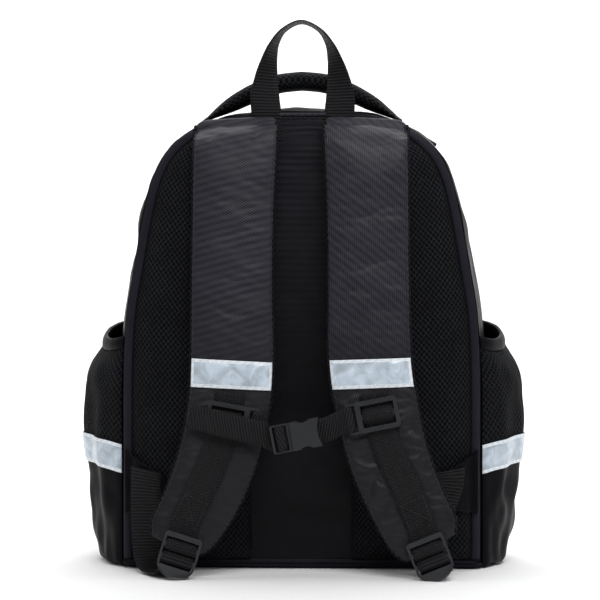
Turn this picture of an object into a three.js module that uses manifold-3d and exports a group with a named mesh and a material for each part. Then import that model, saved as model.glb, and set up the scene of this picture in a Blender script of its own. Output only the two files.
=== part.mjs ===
// A child's school backpack, seen from the wearer's side: padded mesh back, two padded shoulder straps with
// reflective bands, chest strap, grab loop, carry handle and two gathered side pockets around a hollow body.
// Millimetres, +Z up. The wearer's side faces -Y. The origin is the middle of the base's underside.
import * as THREE from "three";
import { mergeVertices } from "three/addons/utils/BufferGeometryUtils.js";
import Module from "manifold-3d";

// Driving dimensions
const GAP = 0.4; // clearance between pieces that are sewn or threaded together
const CLOTH = 2; // body cloth with its foam backing
const HEIGHT = 381; // top edge of the back panel
const BASE_THICKNESS = 6.5;
const BASE_ROUND = 2.5;
const PANEL_THICKNESS = 4;
const DEPTH_BASE = 150; // from back panel to front panel at the foot
const DEPTH_TOP = 108;
const DEPTH_LEAN = 1.5; // how late the front leans in towards the top
const BULGE = 8; // how far the filled sides swell past the back panel's outline
const FRONT_INSET_SIDE = 6;
const FRONT_INSET_TOP = 26;
const FRONT_TAPER_FROM = 230; // heights between which the front's inset grows
const FRONT_TAPER_TO = 372;
const FRONT_ROUND = 17; // radius of the soft edge between the sides and the front
const FRONT_ROUND_FROM = 0.88;
const FRONT_DOME = 13;
const FRONT_CORNER = 0.36; // share of the outline where the front's top corners lie
const ZIP_FROM = 0.42; // shares of the body's depth
const ZIP_TO = 0.5;
const ZIP_THICKNESS = 1.6;
const ZIP_SLIDER_THICKNESS = 2.4;
const ZIP_PULL = { root: 5, rootHalf: 4, reach: 22, tipHalf: 2.5 };
const ZIP_SLIDER_SEAT = 0.75; // the slider's middle above the zip's true curve
const ZIP_SLIDER_SHARE = 0.6;

const PAD_INNER = 42; // half the width of the smooth channel between the two pads
const PAD_FOOT = 9;
const PAD_INSET = 7.6;
const PAD_EDGE = 3;
const PAD_CROWN = 14;
const PAD_ROUND = 25;
const PAD_ROUND_TOP = 60;
const PAD_TOP_REACH = 80;
const BINDING_WIDTH = 6.2;
const BINDING_RISE = 4;
const BINDING_EDGE = 0.35; // its edges' share of the rise
const BINDING_TOP_REACH = 91;

const STRAP_EDGE = 3; // thickness of the hemmed edge of a shoulder strap
const TAPE_THICKNESS = 0.8;
const TAPE_LIFT = 0.6;
const TAPE_SHARE = 0.98; // share of the strap's width that the tape covers
const STRAP_TAPE_TOP = 174.5;
const STRAP_TAPE_FOOT = 151;
const WEBBING = 25; // broad webbing of the straps and the grab loop
const CHEST_WEBBING = 20;
const WEBBING_THICKNESS = 1.2;
const STRAP_WEBBING_TOP = 148;
const LOCK_LEVEL = -65.6; // depth of the ladder locks' middle plane
const SLIDER_HEIGHT = { left: 126.5, right: 130.5 };
const BUCKLE = { x: -2, y: -60, z: 115, tilt: 11 };

const LOOP_THICKNESS = 1.4;
const HANDLE_BACK = 30; // how far behind the back panel the carry handle stands
const HANDLE_WIDTH = 28;
const HANDLE_ROUNDNESS = 0.92;
const HANDLE_FOOT_TILT = 1.92; // rise of a flat foot's edge, which follows the body's swell

const POCKET_FOOT = 1.2;
const POCKET_SEAM = 91; // where net and cloth meet under the reflective strip
const POCKET_TAPE = 24;
const POCKET_RIM = 198;
const POCKET_TOP = 209;
const POCKET_SLANT = 8; // rise of the strip from the pocket's back seam to its outermost line
const POCKET_DROP = 13.5; // how much lower than that the rim's outermost line falls
const POCKET_FROM = 0.045; // shares of the body's depth
const POCKET_TO = 0.87;
const POCKET_WALL = 1.2;
const POCKET_STAND = 1.05; // clearance between the pocket's seams and the body
const POCKET_PLEATS = 5;
const POCKET_PLEAT_DEPTH = 2.2;
const POCKET_PLEAT_RISE = { from: 12, to: 60 }; // heights between which the pleats open
const POCKET_PLEAT_END = { from: 110, to: 170 };
const POCKET_SLANT_RISE = { from: 10, to: 80 };
const POCKET_DROP_FROM = { from: 120, to: 205 };
const POCKET_CROWDING = 1.6; // draws the cloth's rows towards the pocket's floor
const POCKET_FULLNESS = 0.55; // lower is boxier
const POCKET_HEM = 2.2;
const POCKET_HEM_LIFT = 0.5;

// Right half of the back panel's outline, from the top down
const OUTLINE = [
  { halfWidth: 0, height: HEIGHT },
  { halfWidth: 45, height: 378.5 },
  { halfWidth: 84, height: 369.5 },
  { halfWidth: 109, height: 352 },
  { halfWidth: 123.5, height: 328 },
  { halfWidth: 131.5, height: 297 },
  { halfWidth: 140, height: 250 },
  { halfWidth: 146, height: 212 },
  { halfWidth: 148.5, height: 165 },
  { halfWidth: 148.5, height: 85 },
  { halfWidth: 148.5, height: BASE_THICKNESS + GAP },
];

// Sections of a shoulder strap from the top seam down: reach sideways, depth before the back panel,
// height, slope of the section in degrees (positive when the inner edge is the higher one), and how much
// more than its width the right strap has
const STRAP = [
  { left: 53.5, right: 53.5, out: 3.4, height: 374.6, slope: 12, width: 69, more: 0, thickness: 3.2 },
  { left: 53.6, right: 53.6, out: 7.6, height: 367.6, slope: 11.5, width: 69, more: 0, thickness: 4.5 },
  { left: 53.8, right: 53.8, out: 17.5, height: 356, slope: 10, width: 68.5, more: 0, thickness: 7.5 },
  { left: 54.2, right: 54.4, out: 22.5, height: 338, slope: 5.5, width: 67.5, more: 0, thickness: 10 },
  { left: 55.3, right: 55.4, out: 26, height: 295, slope: 2, width: 66, more: 0, thickness: 11 },
  { left: 55.8, right: 55.9, out: 31, height: 235, slope: 0, width: 65.5, more: 0, thickness: 11 },
  { left: 55.3, right: 57, out: 37, height: 175, slope: -3, width: 67, more: 0, thickness: 11 },
  { left: 57.5, right: 62.5, out: 42, height: 137, slope: -8, width: 66, more: 0, thickness: 11 },
  { left: 66, right: 72, out: 48, height: 97, slope: -16, width: 63, more: 0.5, thickness: 10.5 },
  { left: 79.5, right: 86.2, out: 53, height: 62, slope: -20, width: 59, more: 1.5, thickness: 10 },
  { left: 95, right: 99.8, out: 57, height: 36, slope: -22, width: 52, more: 5, thickness: 9 },
  { left: 100.5, right: 106.2, out: 58.5, height: 25, slope: -22, width: 38, more: 5, thickness: 6 },
];

// Half of the grab loop from its sewn foot to the top, with the turn of the webbing in degrees
const LOOP = [
  { reach: 28.6, back: -1.3, height: 357, turn: 0 },
  { reach: 29.3, back: -1.3, height: 381, turn: 0 },
  { reach: 30.2, back: -1, height: 392, turn: 16 },
  { reach: 29.5, back: 0, height: 407, turn: 40 },
  { reach: 27, back: 1, height: 423, turn: 60 },
  { reach: 22.5, back: 2, height: 438, turn: 76 },
  { reach: 14.5, back: 3, height: 449.5, turn: 86 },
  { reach: 0, back: 3, height: 456, turn: 90 },
];

// Half of the carry handle's middle line from its foot to the top
const HANDLE = [
  { reach: 84, height: 375.7, thickness: 2.6, flat: 1 },
  { reach: 74, height: 381.8, thickness: 5, flat: 0.9 },
  { reach: 60, height: 389.5, thickness: 12, flat: 0.35 },
  { reach: 42, height: 398, thickness: 15.5, flat: 0 },
  { reach: 21, height: 406, thickness: 16, flat: 0 },
  { reach: 0, height: 408.5, thickness: 16, flat: 0 },
];

// How far a side pocket stands out from the body by height
const POCKET = [
  { height: POCKET_FOOT, out: 0.6 },
  { height: 2.4, out: 15 },
  { height: 6, out: 19.5 },
  { height: 16, out: 21.3 },
  { height: 30, out: 24.2 },
  { height: 46, out: 25.8 },
  { height: 60, out: 26.8 },
  { height: 74, out: 29 },
  { height: POCKET_SEAM, out: 31.8 },
  { height: 112, out: 33.1 },
  { height: 135, out: 32.2 },
  { height: 149, out: 32.2 },
  { height: 163, out: 31.2 },
  { height: 177, out: 28 },
  { height: 188, out: 23.3 },
  { height: POCKET_RIM, out: 18.5 },
  { height: POCKET_TOP, out: 16.5 },
];

// Ladder lock: bars and slots down its length, and how it hangs
const LOCK = { width: 31, length: 36, thickness: 3, corner: 3, tongueFrom: 24, lipFrom: 28, lipRise: 4 };
const LOCK_TONGUE_ROUND = 0.56; // how far the tongue's curve holds its direction at each end
const LOCK_SLOTS = [
  { from: 4, to: 8.5, width: 26.8 },
  { from: 12.5, to: 18.5, width: 27.4 },
  { from: 22.5, to: 27, width: 26.4 },
];
const LOCK_PLACE = {
  left: { x: -91.2, z: 35.6, turn: -17.5 },
  right: { x: 99.2, z: 34, turn: 22 },
};

// Chest strap slider: frame, middle bar and the ring on its inner side
const SLIDER = { width: 33, height: 25.6, windowHeight: 18, bar: 4, thickness: 3, corner: 4 };
const SLIDER_WINDOW = { upper: 27, lower: 26.8 };
const RING = { reach: 26, slotFrom: 18, slotTo: 22.5, slot: 21.4, height: 25, corner: 5 };

// Side-release buckle halves along its axis
const MALE = { from: -20.5, to: -4.9, height: 23, thickness: 4, corner: 2 };
const MALE_SLOTS = [
  { from: -18.5, to: -14.5, width: 20.8 },
  { from: -11, to: -7, width: 20.6 },
];
const FEMALE = { from: -4.5, to: 19.4, height: 23, thickness: 7, notch: 4.4 };
const FEMALE_SLOT = { from: 12, to: 15.5, deep: 4, width: 21 };
const FEMALE_WAIST = { from: 1.5, middle: 6.5, to: 11.5, deep: 4 };

// Lower webbing on its way from the ladder lock's back to the side tab
const ADJUSTER = {
  left: [
    { x: -105.5, y: -53, z: 3, ax: 0.93, ay: 0.3, az: -0.06 },
    { x: -113, y: -40, z: 2.2, ax: 0.9, ay: 0.44, az: 0 },
    { x: -121, y: -26.5, z: 4.5, ax: 0.93, ay: 0.37, az: 0 },
    { x: -125.5, y: -20.5, z: 15, ax: 0.98, ay: 0.16, az: 0 },
    { x: -127.5, y: -18.4, z: 34, ax: 1, ay: 0, az: 0 },
    { x: -128, y: -18.4, z: 58, ax: 1, ay: 0, az: 0 },
    { x: -128, y: -18.4, z: 84, ax: 0.97, ay: 0, az: -0.24 },
  ],
  right: [
    { x: 110.5, y: -54, z: 4.8, ax: 0.96, ay: -0.1, az: 0.24 },
    { x: 109.5, y: -44, z: 6.5, ax: 0.99, ay: -0.1, az: 0.1 },
    { x: 108, y: -33, z: 15, ax: 0.99, ay: -0.08, az: -0.05 },
    { x: 109, y: -25, z: 32, ax: 0.98, ay: -0.04, az: -0.14 },
    { x: 115, y: -20, z: 54, ax: 0.97, ay: 0, az: -0.2 },
    { x: 121, y: -18.4, z: 70, ax: 0.98, ay: 0, az: -0.12 },
    { x: 123, y: -18.4, z: 84, ax: 0.98, ay: 0, az: 0.2 },
  ],
};
const TAB = { topSeam: 101, footSeam: 47, topInner: 78, footInner: 53, reach: 112, seam: 146.4 };
const TAB_LIFT = 0.6;
const TAB_CURVE = 0.8;

// Threaded webbing, by its middle line: the way along the hardware and the rise above its middle plane
const SLIDER_THREAD = [
  { up: 8.6, rise: -2.5 },
  { up: 5.7, rise: -0.5 },
  { up: 3.3, rise: 2.1 },
  { up: 0, rise: 2.8 },
  { up: -3.3, rise: 2.1 },
  { up: -5.7, rise: -0.5 },
  { up: -8.6, rise: -2.5 },
];
const LOCK_THREAD_UPPER = [
  { down: 2.5, rise: -2.8 },
  { down: 4.8, rise: -2.1 },
  { down: 6, rise: 0.2 },
  { down: 7.9, rise: 2.5 },
  { down: 10.5, rise: 2.8 },
  { down: 13.1, rise: 2.4 },
  { down: 14.7, rise: 0.2 },
  { down: 13.6, rise: -2.3 },
  { down: 11, rise: -2.7 },
];
const LOCK_THREAD_LOWER = [
  { down: 33, rise: -2.6 },
  { down: 28, rise: -2.6 },
  { down: 25.4, rise: -1.9 },
  { down: 24.7, rise: 0.2 },
  { down: 23.1, rise: 2.4 },
  { down: 20.5, rise: 2.8 },
  { down: 17.9, rise: 2.5 },
  { down: 16.6, rise: 0.1 },
  { down: 17, rise: -2.4 },
  { down: 19.5, rise: -4.2 },
  { down: 24, rise: -4.7 },
  { down: 29, rise: -5 },
];
const RING_HOOK = [
  { reach: 27.5, rise: -2.5 },
  { reach: 24.2, rise: -2.7 },
  { reach: 20.8, rise: -1.7 },
  { reach: 20.2, rise: 0.4 },
  { reach: 21.6, rise: 2.3 },
  { reach: 25, rise: 2.5 },
  { reach: 28, rise: 1.7 },
];
const MALE_THREAD = [
  { along: -19, rise: -5.5 },
  { along: -14, rise: -5 },
  { along: -11, rise: -3.7 },
  { along: -9, rise: -1.6 },
  { along: -8.9, rise: 1 },
  { along: -10.4, rise: 3 },
  { along: -12.75, rise: 3.3 },
  { along: -15.1, rise: 2.9 },
  { along: -16.6, rise: 0.7 },
  { along: -17, rise: -2.3 },
  { along: -19.4, rise: -3.5 },
];
const FEMALE_THREAD = [
  { along: 24, rise: -4.7 },
  { along: 18.5, rise: -4.7 },
  { along: 15.2, rise: -4.3 },
  { along: 13.9, rise: -2.6 },
  { along: 13.75, rise: -0.6 },
];

// Free tail of the chest webbing, from the buckle out over the left strap
const CHEST_TAIL = [
  { x: -28, y: -58, z: 115.8 },
  { x: -36, y: -59.2, z: 117.8 },
  { x: -47, y: -59.6, z: 120.5 },
  { x: -60, y: -59.4, z: 123.7 },
  { x: -75, y: -58.2, z: 127.3 },
  { x: -89, y: -55.8, z: 130.8 },
];
const CHEST_TAIL_LEAN = 13.8;
// Where it lies on the strap below the slider: height, and how far towards the outer edge
const STRAP_WEBBING_RUN = [
  { height: 107, shift: 0.03 },
  { height: 90, shift: 0.09 },
  { height: 72, shift: 0.13 },
  { height: 54, shift: 0.12 },
  { height: 43, shift: 0.06 },
];

// Steps of the meshes
const ALONG_BODY = 36;
const ALONG_STRAP = 20;
const ACROSS_STRAP = 6;
const AROUND_POCKET = 20;

const FINISH = {
  cloth: { color: "#2b2b2f", roughness: 0.62, metalness: 0 },
  channel: { color: "#17171d", roughness: 0.7, metalness: 0 },
  mesh: { color: "#16181b", roughness: 0.9, metalness: 0 },
  webbing: { color: "#202122", roughness: 0.75, metalness: 0 },
  plastic: { color: "#3a3c3e", roughness: 0.45, metalness: 0 },
  tape: { color: "#c8d2dc", roughness: 0.3, metalness: 0 },
};

const { lerp, smoothstep, degToRad } = THREE.MathUtils;
const vector = (x, y, z) => new THREE.Vector3(x, y, z);
const between = (value, range) => smoothstep(value, range.from, range.to);
const bag = new THREE.Group();
bag.position.y = -DEPTH_BASE / 2;

function place(name, geometry, finish) {
  const mesh = new THREE.Mesh(geometry, new THREE.MeshStandardMaterial(FINISH[finish]));
  mesh.name = name;
  bag.add(mesh);
  return mesh;
}

// Closed body between two grids of points that share their edges' directions.
function slab(front, back, uSteps, vSteps) {
  const positions = [];
  const triangles = [];
  const row = vSteps + 1;
  const size = (uSteps + 1) * row;
  for (const face of [front, back]) {
    for (let i = 0; i <= uSteps; i++) {
      for (let j = 0; j <= vSteps; j++) positions.push(...face(i / uSteps, j / vSteps).toArray());
    }
  }
  const quad = (a, b, c, d) => triangles.push(a, b, c, a, c, d);
  for (let i = 0; i < uSteps; i++) {
    for (let j = 0; j < vSteps; j++) {
      const a = i * row + j;
      quad(a, a + row, a + row + 1, a + 1);
      quad(size + a, size + a + 1, size + a + row + 1, size + a + row);
    }
  }
  for (let i = 0; i < uSteps; i++) {
    const a = i * row;
    const b = a + vSteps;
    quad(a, size + a, size + a + row, a + row);
    quad(b, b + row, size + b + row, size + b);
  }
  for (let j = 0; j < vSteps; j++) {
    const a = j;
    const b = uSteps * row + j;
    quad(a, a + 1, size + a + 1, size + a);
    quad(b, size + b, size + b + 1, b + 1);
  }
  return facingOut(positions, triangles);
}

// Geometry whose triangles are turned so that the body's volume is positive.
function facingOut(positions, triangles) {
  const corner = (i) => new THREE.Vector3().fromArray(positions, 3 * triangles[i]);
  let volume = 0;
  for (let i = 0; i < triangles.length; i += 3) volume += corner(i).dot(corner(i + 1).cross(corner(i + 2)));
  if (volume < 0) {
    for (let i = 0; i < triangles.length; i += 3) {
      [triangles[i], triangles[i + 1]] = [triangles[i + 1], triangles[i]];
    }
  }
  const geometry = new THREE.BufferGeometry();
  geometry.setAttribute("position", new THREE.Float32BufferAttribute(positions, 3));
  geometry.setIndex(triangles);
  geometry.computeVertexNormals();
  return geometry;
}

// Unit normal of a surface given as a function of two shares.
function normalAt(surface, u, v) {
  const step = 0.002;
  const du = surface(u + step, v).sub(surface(u - step, v));
  const dv = surface(u, v + step).sub(surface(u, v - step));
  return du.cross(dv).normalize();
}

// Cloth wall whose outer face is the surface and whose thickness lies on its inner side.
function wall(surface, thickness, uSteps, vSteps) {
  const inner = (u, v) => surface(u, v).addScaledVector(normalAt(surface, u, v), -thickness);
  return slab(surface, inner, uSteps, vSteps);
}

// Four-sided patch stretched between its bottom, top, left and right edges.
function patch(bottom, top, left, right) {
  const corners = [bottom(0), bottom(1), top(0), top(1)];
  return (u, v) => {
    const p = bottom(u).multiplyScalar(1 - v).addScaledVector(top(u), v);
    p.addScaledVector(left(v), 1 - u).addScaledVector(right(v), u);
    p.addScaledVector(corners[0], -(1 - u) * (1 - v)).addScaledVector(corners[1], -u * (1 - v));
    return p.addScaledVector(corners[2], -(1 - u) * v).addScaledVector(corners[3], -u * v);
  };
}

// Smooth reading of one column of a table at a share of its length.
function column(rows, name, share) {
  const at = THREE.MathUtils.clamp(share, 0, 1) * (rows.length - 1);
  const i = Math.min(Math.floor(at), rows.length - 2);
  const value = (k) => rows[THREE.MathUtils.clamp(k, 0, rows.length - 1)][name];
  const [a, b, c, d] = [value(i - 1), value(i), value(i + 1), value(i + 2)];
  const t = at - i;
  return b + 0.5 * t * (c - a + t * (2 * a - 5 * b + 4 * c - d + t * (3 * (b - c) + d - a)));
}

// Share of a table at which a falling or rising function reaches a value.
function shareWhere(value, target, from, to) {
  let low = from;
  let high = to;
  const rising = value(to) > value(from);
  for (let i = 0; i < 40; i++) {
    const middle = (low + high) / 2;
    if (value(middle) < target === rising) low = middle;
    else high = middle;
  }
  return (low + high) / 2;
}

// Webbing through stations that each give a point and the direction across the webbing.
function webbing(stations, width, thickness, stepsEach = 2) {
  const curve = new THREE.CatmullRomCurve3(stations.map((s) => s.point));
  const last = stations.length - 1;
  const frameAt = (t) => {
    const i = Math.min(Math.floor(t * last), last - 1);
    const across = stations[i].across.clone().lerp(stations[i + 1].across, t * last - i).normalize();
    const normal = curve.getTangent(t).cross(across).normalize();
    return { point: curve.getPoint(t), across, normal };
  };
  const side = (sign) => (t, v) => {
    const f = frameAt(t);
    f.point.addScaledVector(f.across, (v - 0.5) * width);
    return f.point.addScaledVector(f.normal, (sign * thickness) / 2);
  };
  return slab(side(1), side(-1), last * stepsEach, 1);
}

// Flat moulding of a shape, centred on its middle plane, without normals or texture coordinates.
function moulding(shape, thickness) {
  const settings = { depth: thickness, bevelEnabled: false, curveSegments: 6 };
  const geometry = new THREE.ExtrudeGeometry(shape, settings);
  geometry.translate(0, 0, -thickness / 2);
  return geometry;
}

function rectangle(x0, y0, x1, y1) {
  const path = new THREE.Path();
  path.moveTo(x0, y0).lineTo(x1, y0).lineTo(x1, y1).lineTo(x0, y1);
  return path;
}

// Turns a mesh so that its own x, y and z lie along the given directions, and moves it to a point.
function orient(mesh, point, xAxis, yAxis, zAxis) {
  mesh.setRotationFromMatrix(new THREE.Matrix4().makeBasis(xAxis, yAxis, zAxis));
  mesh.position.copy(point);
  return mesh;
}

// Body: arch of the back panel's outline, swept back to the front panel
const halfOutline = OUTLINE.map((row) => new THREE.Vector2(row.halfWidth, row.height));
const mirrored = halfOutline.slice(1).reverse().map((p) => new THREE.Vector2(-p.x, p.y));
const arch = new THREE.SplineCurve([...mirrored, ...halfOutline]);
const archShare = (height) => shareWhere((s) => arch.getPointAt(s).y, height, 0.999, 0.55);
const archReach = (reach) => shareWhere((s) => arch.getPointAt(s).x, reach, 0.5, 0.75);

function archPoint(share, inset, y) {
  const s = THREE.MathUtils.clamp(share, 0, 1);
  const point = arch.getPointAt(s);
  const tangent = arch.getTangentAt(s);
  return vector(point.x + tangent.y * inset, y, point.y - tangent.x * inset);
}

const depthAt = (height) => lerp(DEPTH_BASE, DEPTH_TOP, (Math.max(height, 0) / HEIGHT) ** DEPTH_LEAN);

function bodyInset(height, back) {
  const top = smoothstep(height, FRONT_TAPER_FROM, FRONT_TAPER_TO);
  const taper = back * back * lerp(FRONT_INSET_SIDE, FRONT_INSET_TOP, top);
  const turn = Math.max(back - FRONT_ROUND_FROM, 0) / (1 - FRONT_ROUND_FROM);
  const round = FRONT_ROUND * (1 - Math.sqrt(Math.max(1 - turn * turn, 0)));
  return taper + round - BULGE * Math.sin(Math.PI * back);
}

function bodyPoint(share, back) {
  const height = arch.getPointAt(THREE.MathUtils.clamp(share, 0, 1)).y;
  return archPoint(share, bodyInset(height, back), back * depthAt(height));
}

// Side of the body at a height, on the right.
function bodySide(height, back) {
  const level = Math.max(height, BASE_THICKNESS + GAP);
  const point = bodyPoint(archShare(level), back);
  point.z = height;
  return point;
}

// Band of the body between two shares of its depth, with its sections closer together towards the front.
function bodyBand(from, to, crowding = 1) {
  return (u, v) => bodyPoint(u, lerp(to, from, (1 - THREE.MathUtils.clamp(v, 0, 1)) ** crowding));
}

function makeBody() {
  const outline = new THREE.Shape(arch.getSpacedPoints(ALONG_BODY));
  const panel = new THREE.ExtrudeGeometry(outline, { depth: PANEL_THICKNESS, bevelEnabled: false });
  panel.rotateX(Math.PI / 2).translate(0, PANEL_THICKNESS, 0);
  place("back_panel", panel, "channel");

  const start = (PANEL_THICKNESS + GAP) / DEPTH_TOP;
  const slit = GAP / DEPTH_TOP;
  place("gusset_rear", wall(bodyBand(start, ZIP_FROM - slit), CLOTH, ALONG_BODY, 3), "cloth");
  place("main_zip", wall(bodyBand(ZIP_FROM, ZIP_TO), ZIP_THICKNESS, ALONG_BODY, 1), "webbing");
  place("gusset_front", wall(bodyBand(ZIP_TO + slit, 1, 2), CLOTH, ALONG_BODY, 5), "cloth");
  place("front_panel", frontPanel(), "cloth");
  place("base_panel", basePanel(), "cloth");

  const pull = place("zip_slider", moulding(zipPull(), ZIP_SLIDER_THICKNESS), "plastic");
  const share = ZIP_SLIDER_SHARE;
  const middle = bodyBand(ZIP_FROM, ZIP_TO);
  const normal = normalAt(middle, share, 0.5);
  const along = middle(share + 0.01, 0.5).sub(middle(share - 0.01, 0.5)).normalize();
  const seat = middle(share, 0.5).addScaledVector(normal, ZIP_SLIDER_SEAT);
  orient(pull, seat, along, normal.clone().cross(along), normal);
}

function zipPull() {
  const { root, rootHalf, reach, tipHalf } = ZIP_PULL;
  const shape = new THREE.Shape();
  shape.moveTo(-root, -rootHalf).lineTo(root, -rootHalf).lineTo(reach, -tipHalf);
  shape.absarc(reach, 0, tipHalf, -Math.PI / 2, Math.PI / 2, false);
  shape.lineTo(root, rootHalf).lineTo(-root, rootHalf).closePath();
  return shape;
}

function frontPanel() {
  const corner = FRONT_CORNER;
  const edge = (share) => bodyPoint(share, 1);
  const surface = patch(
    (u) => edge(0).lerp(edge(1), u),
    (u) => edge(lerp(corner, 1 - corner, u)),
    (v) => edge(corner * v),
    (v) => edge(1 - corner * v),
  );
  const dome = (u, v) => FRONT_DOME * Math.sqrt(Math.max(16 * u * (1 - u) * v * (1 - v), 0));
  const inner = (u, v) => surface(u, v).add(vector(0, 2 * GAP + dome(u, v), 0));
  const outer = (u, v) => inner(u, v).add(vector(0, CLOTH, 0));
  return slab(outer, inner, 10, 12);
}

function basePanel() {
  const steps = 9;
  const plan = [];
  for (const side of [-1, 1]) {
    for (let i = 0; i <= steps; i++) {
      const back = 1 - (side < 0 ? 1 - i / steps : i / steps) ** 2;
      const reach = OUTLINE[OUTLINE.length - 1].halfWidth - bodyInset(0, back);
      plan.push(new THREE.Vector2(side * reach, back * (DEPTH_BASE + CLOTH)));
    }
  }
  const geometry = new THREE.ExtrudeGeometry(new THREE.Shape(plan), {
    depth: BASE_THICKNESS - 2 * BASE_ROUND,
    bevelThickness: BASE_ROUND,
    bevelSize: BASE_ROUND,
    bevelOffset: -BASE_ROUND,
    bevelSegments: 2,
  });
  return geometry.translate(0, 0, BASE_ROUND);
}

// Back: two crowned mesh pads and the binding along the side seams
const ease = (share) => Math.sqrt(1 - (1 - THREE.MathUtils.clamp(share, 0, 1)) ** 2);
const padRise = (share) => lerp(PAD_EDGE, PAD_CROWN, share);

function backPad(side) {
  const topShare = archReach(PAD_TOP_REACH);
  const outer = (v) => archPoint(lerp(archShare(PAD_FOOT), topShare, v), PAD_INSET, 0);
  const topInner = archPoint(archReach(PAD_INNER), PAD_INSET, 0).z;
  const inner = (v) => vector(PAD_INNER, 0, lerp(PAD_FOOT, topInner, v));
  const surface = patch(
    (u) => inner(0).lerp(outer(0), u),
    (u) => inner(1).lerp(outer(1), u),
    inner,
    outer,
  );
  const rise = (u, v) => {
    const width = surface(1, v).distanceTo(surface(0, v));
    const sides = ease((Math.min(u, 1 - u) * width) / PAD_ROUND);
    const foot = ease((v * topInner) / PAD_ROUND);
    const top = ease(((1 - v) * topInner) / PAD_ROUND_TOP);
    return padRise(sides * foot * top);
  };
  const face = (lift) => (u, v) => {
    const p = surface(u, v);
    return vector(side * p.x, -GAP - lift(u, v), p.z);
  };
  return slab(face(rise), face(() => 0), 8, 16);
}

function edgeBinding(side) {
  const foot = archShare(PAD_FOOT);
  const top = archReach(BINDING_TOP_REACH);
  const face = (rise) => (u, v) => {
    const swell = rise * lerp(BINDING_EDGE, 1, Math.sin(Math.PI * v));
    const p = archPoint(lerp(foot, top, u), lerp(GAP, BINDING_WIDTH, v), -GAP - swell);
    return vector(side * p.x, p.y, p.z);
  };
  return slab(face(BINDING_RISE), face(0), 20, 2);
}

// Shoulder straps
const outwards = vector(0, -1, 0);

function strapFrame(sideName, t) {
  const sign = sideName === "left" ? -1 : 1;
  const centre = (share) => {
    const reach = sign * column(STRAP, sideName, share);
    return vector(reach, -column(STRAP, "out", share), column(STRAP, "height", share));
  };
  const tangent = centre(Math.min(t + 0.004, 1)).sub(centre(Math.max(t - 0.004, 0))).normalize();
  const slope = degToRad(-sign * column(STRAP, "slope", t));
  const across = vector(Math.cos(slope), 0, Math.sin(slope));
  across.addScaledVector(tangent, -across.dot(tangent)).normalize();
  const normal = across.clone().cross(tangent);
  if (normal.dot(outwards) < 0) normal.negate();
  return { point: centre(t), tangent, across, normal };
}

const strapShare = (height) => shareWhere((t) => column(STRAP, "height", t), height, 0, 1);

// Point on a strap's face: w runs from -1 to 1 across it, and lift is the height above the face.
function strapPoint(sideName, t, w, lift, face = 1) {
  const f = strapFrame(sideName, t);
  const thickness = column(STRAP, "thickness", t);
  const edge = Math.min(STRAP_EDGE, thickness) / 2;
  const half = edge + (thickness / 2 - edge) * (1 - w ** 4);
  const more = sideName === "right" ? column(STRAP, "more", t) : 0;
  f.point.addScaledVector(f.across, (w * (column(STRAP, "width", t) + more)) / 2);
  return f.point.addScaledVector(f.normal, face * (half + lift));
}

function shoulderStrap(sideName) {
  const face = (sign) => (u, v) => strapPoint(sideName, u, 2 * v - 1, 0, sign);
  return slab(face(1), face(-1), ALONG_STRAP, ACROSS_STRAP);
}

function strapTape(sideName) {
  const from = strapShare(STRAP_TAPE_TOP);
  const to = strapShare(STRAP_TAPE_FOOT);
  const face = (lift) => (u, v) => strapPoint(sideName, lerp(from, to, u), TAPE_SHARE * (2 * v - 1), lift);
  return slab(face(TAPE_LIFT + TAPE_THICKNESS), face(TAPE_LIFT), 4, ACROSS_STRAP);
}

// Ladder lock and its frame: a runs down the lock and n towards the wearer
function lockFrame(sideName) {
  const { x, z, turn } = LOCK_PLACE[sideName];
  const angle = degToRad(turn);
  const along = vector(Math.sin(angle), 0, -Math.cos(angle));
  const across = vector(Math.cos(angle), 0, Math.sin(angle));
  const origin = vector(x, LOCK_LEVEL, z);
  const at = (a, n) => origin.clone().addScaledVector(along, a).addScaledVector(outwards, n);
  return { origin, along, across, at };
}

function ladderLock() {
  const { width, length, thickness, corner, tongueFrom, lipFrom, lipRise } = LOCK;
  const half = width / 2;
  const broad = half * LOCK_TONGUE_ROUND;
  const low = lerp(tongueFrom, length, LOCK_TONGUE_ROUND);
  const shape = new THREE.Shape();
  shape.moveTo(-half + corner, 0).lineTo(half - corner, 0);
  shape.quadraticCurveTo(half, 0, half, -corner).lineTo(half, -tongueFrom);
  shape.bezierCurveTo(half, -low, broad, -length, 0, -length);
  shape.bezierCurveTo(-broad, -length, -half, -low, -half, -tongueFrom);
  shape.lineTo(-half, -corner).quadraticCurveTo(-half, 0, -half + corner, 0);
  for (const slot of LOCK_SLOTS) {
    shape.holes.push(rectangle(-slot.width / 2, -slot.to, slot.width / 2, -slot.from));
  }
  const geometry = moulding(shape, thickness);
  const positions = geometry.getAttribute("position");
  for (let i = 0; i < positions.count; i++) {
    const past = Math.max(-positions.getY(i) - lipFrom, 0) / (length - lipFrom);
    positions.setZ(i, positions.getZ(i) + lipRise * past * past);
  }
  return geometry;
}

// Strap webbing: sewn to the strap, threaded over the slider's bar and round the lock's upper bar
function strapWebbing(sideName) {
  const outer = sideName === "left" ? -1 : 1;
  const rest = TAPE_LIFT + WEBBING_THICKNESS / 2;
  const onStrap = (height, shift) => {
    const t = strapShare(height);
    return { point: strapPoint(sideName, t, outer * shift, rest), across: strapFrame(sideName, t).across };
  };
  const slider = sliderFrame(sideName);
  const lock = lockFrame(sideName);
  return webbing(
    [
      onStrap(STRAP_WEBBING_TOP, 0),
      ...SLIDER_THREAD.map((row) => ({ point: slider.at(0, row.up, row.rise), across: slider.across })),
      ...STRAP_WEBBING_RUN.map((row) => onStrap(row.height, row.shift)),
      ...LOCK_THREAD_UPPER.map((row) => ({ point: lock.at(row.down, row.rise), across: lock.across })),
    ],
    WEBBING,
    WEBBING_THICKNESS,
  );
}

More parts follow.
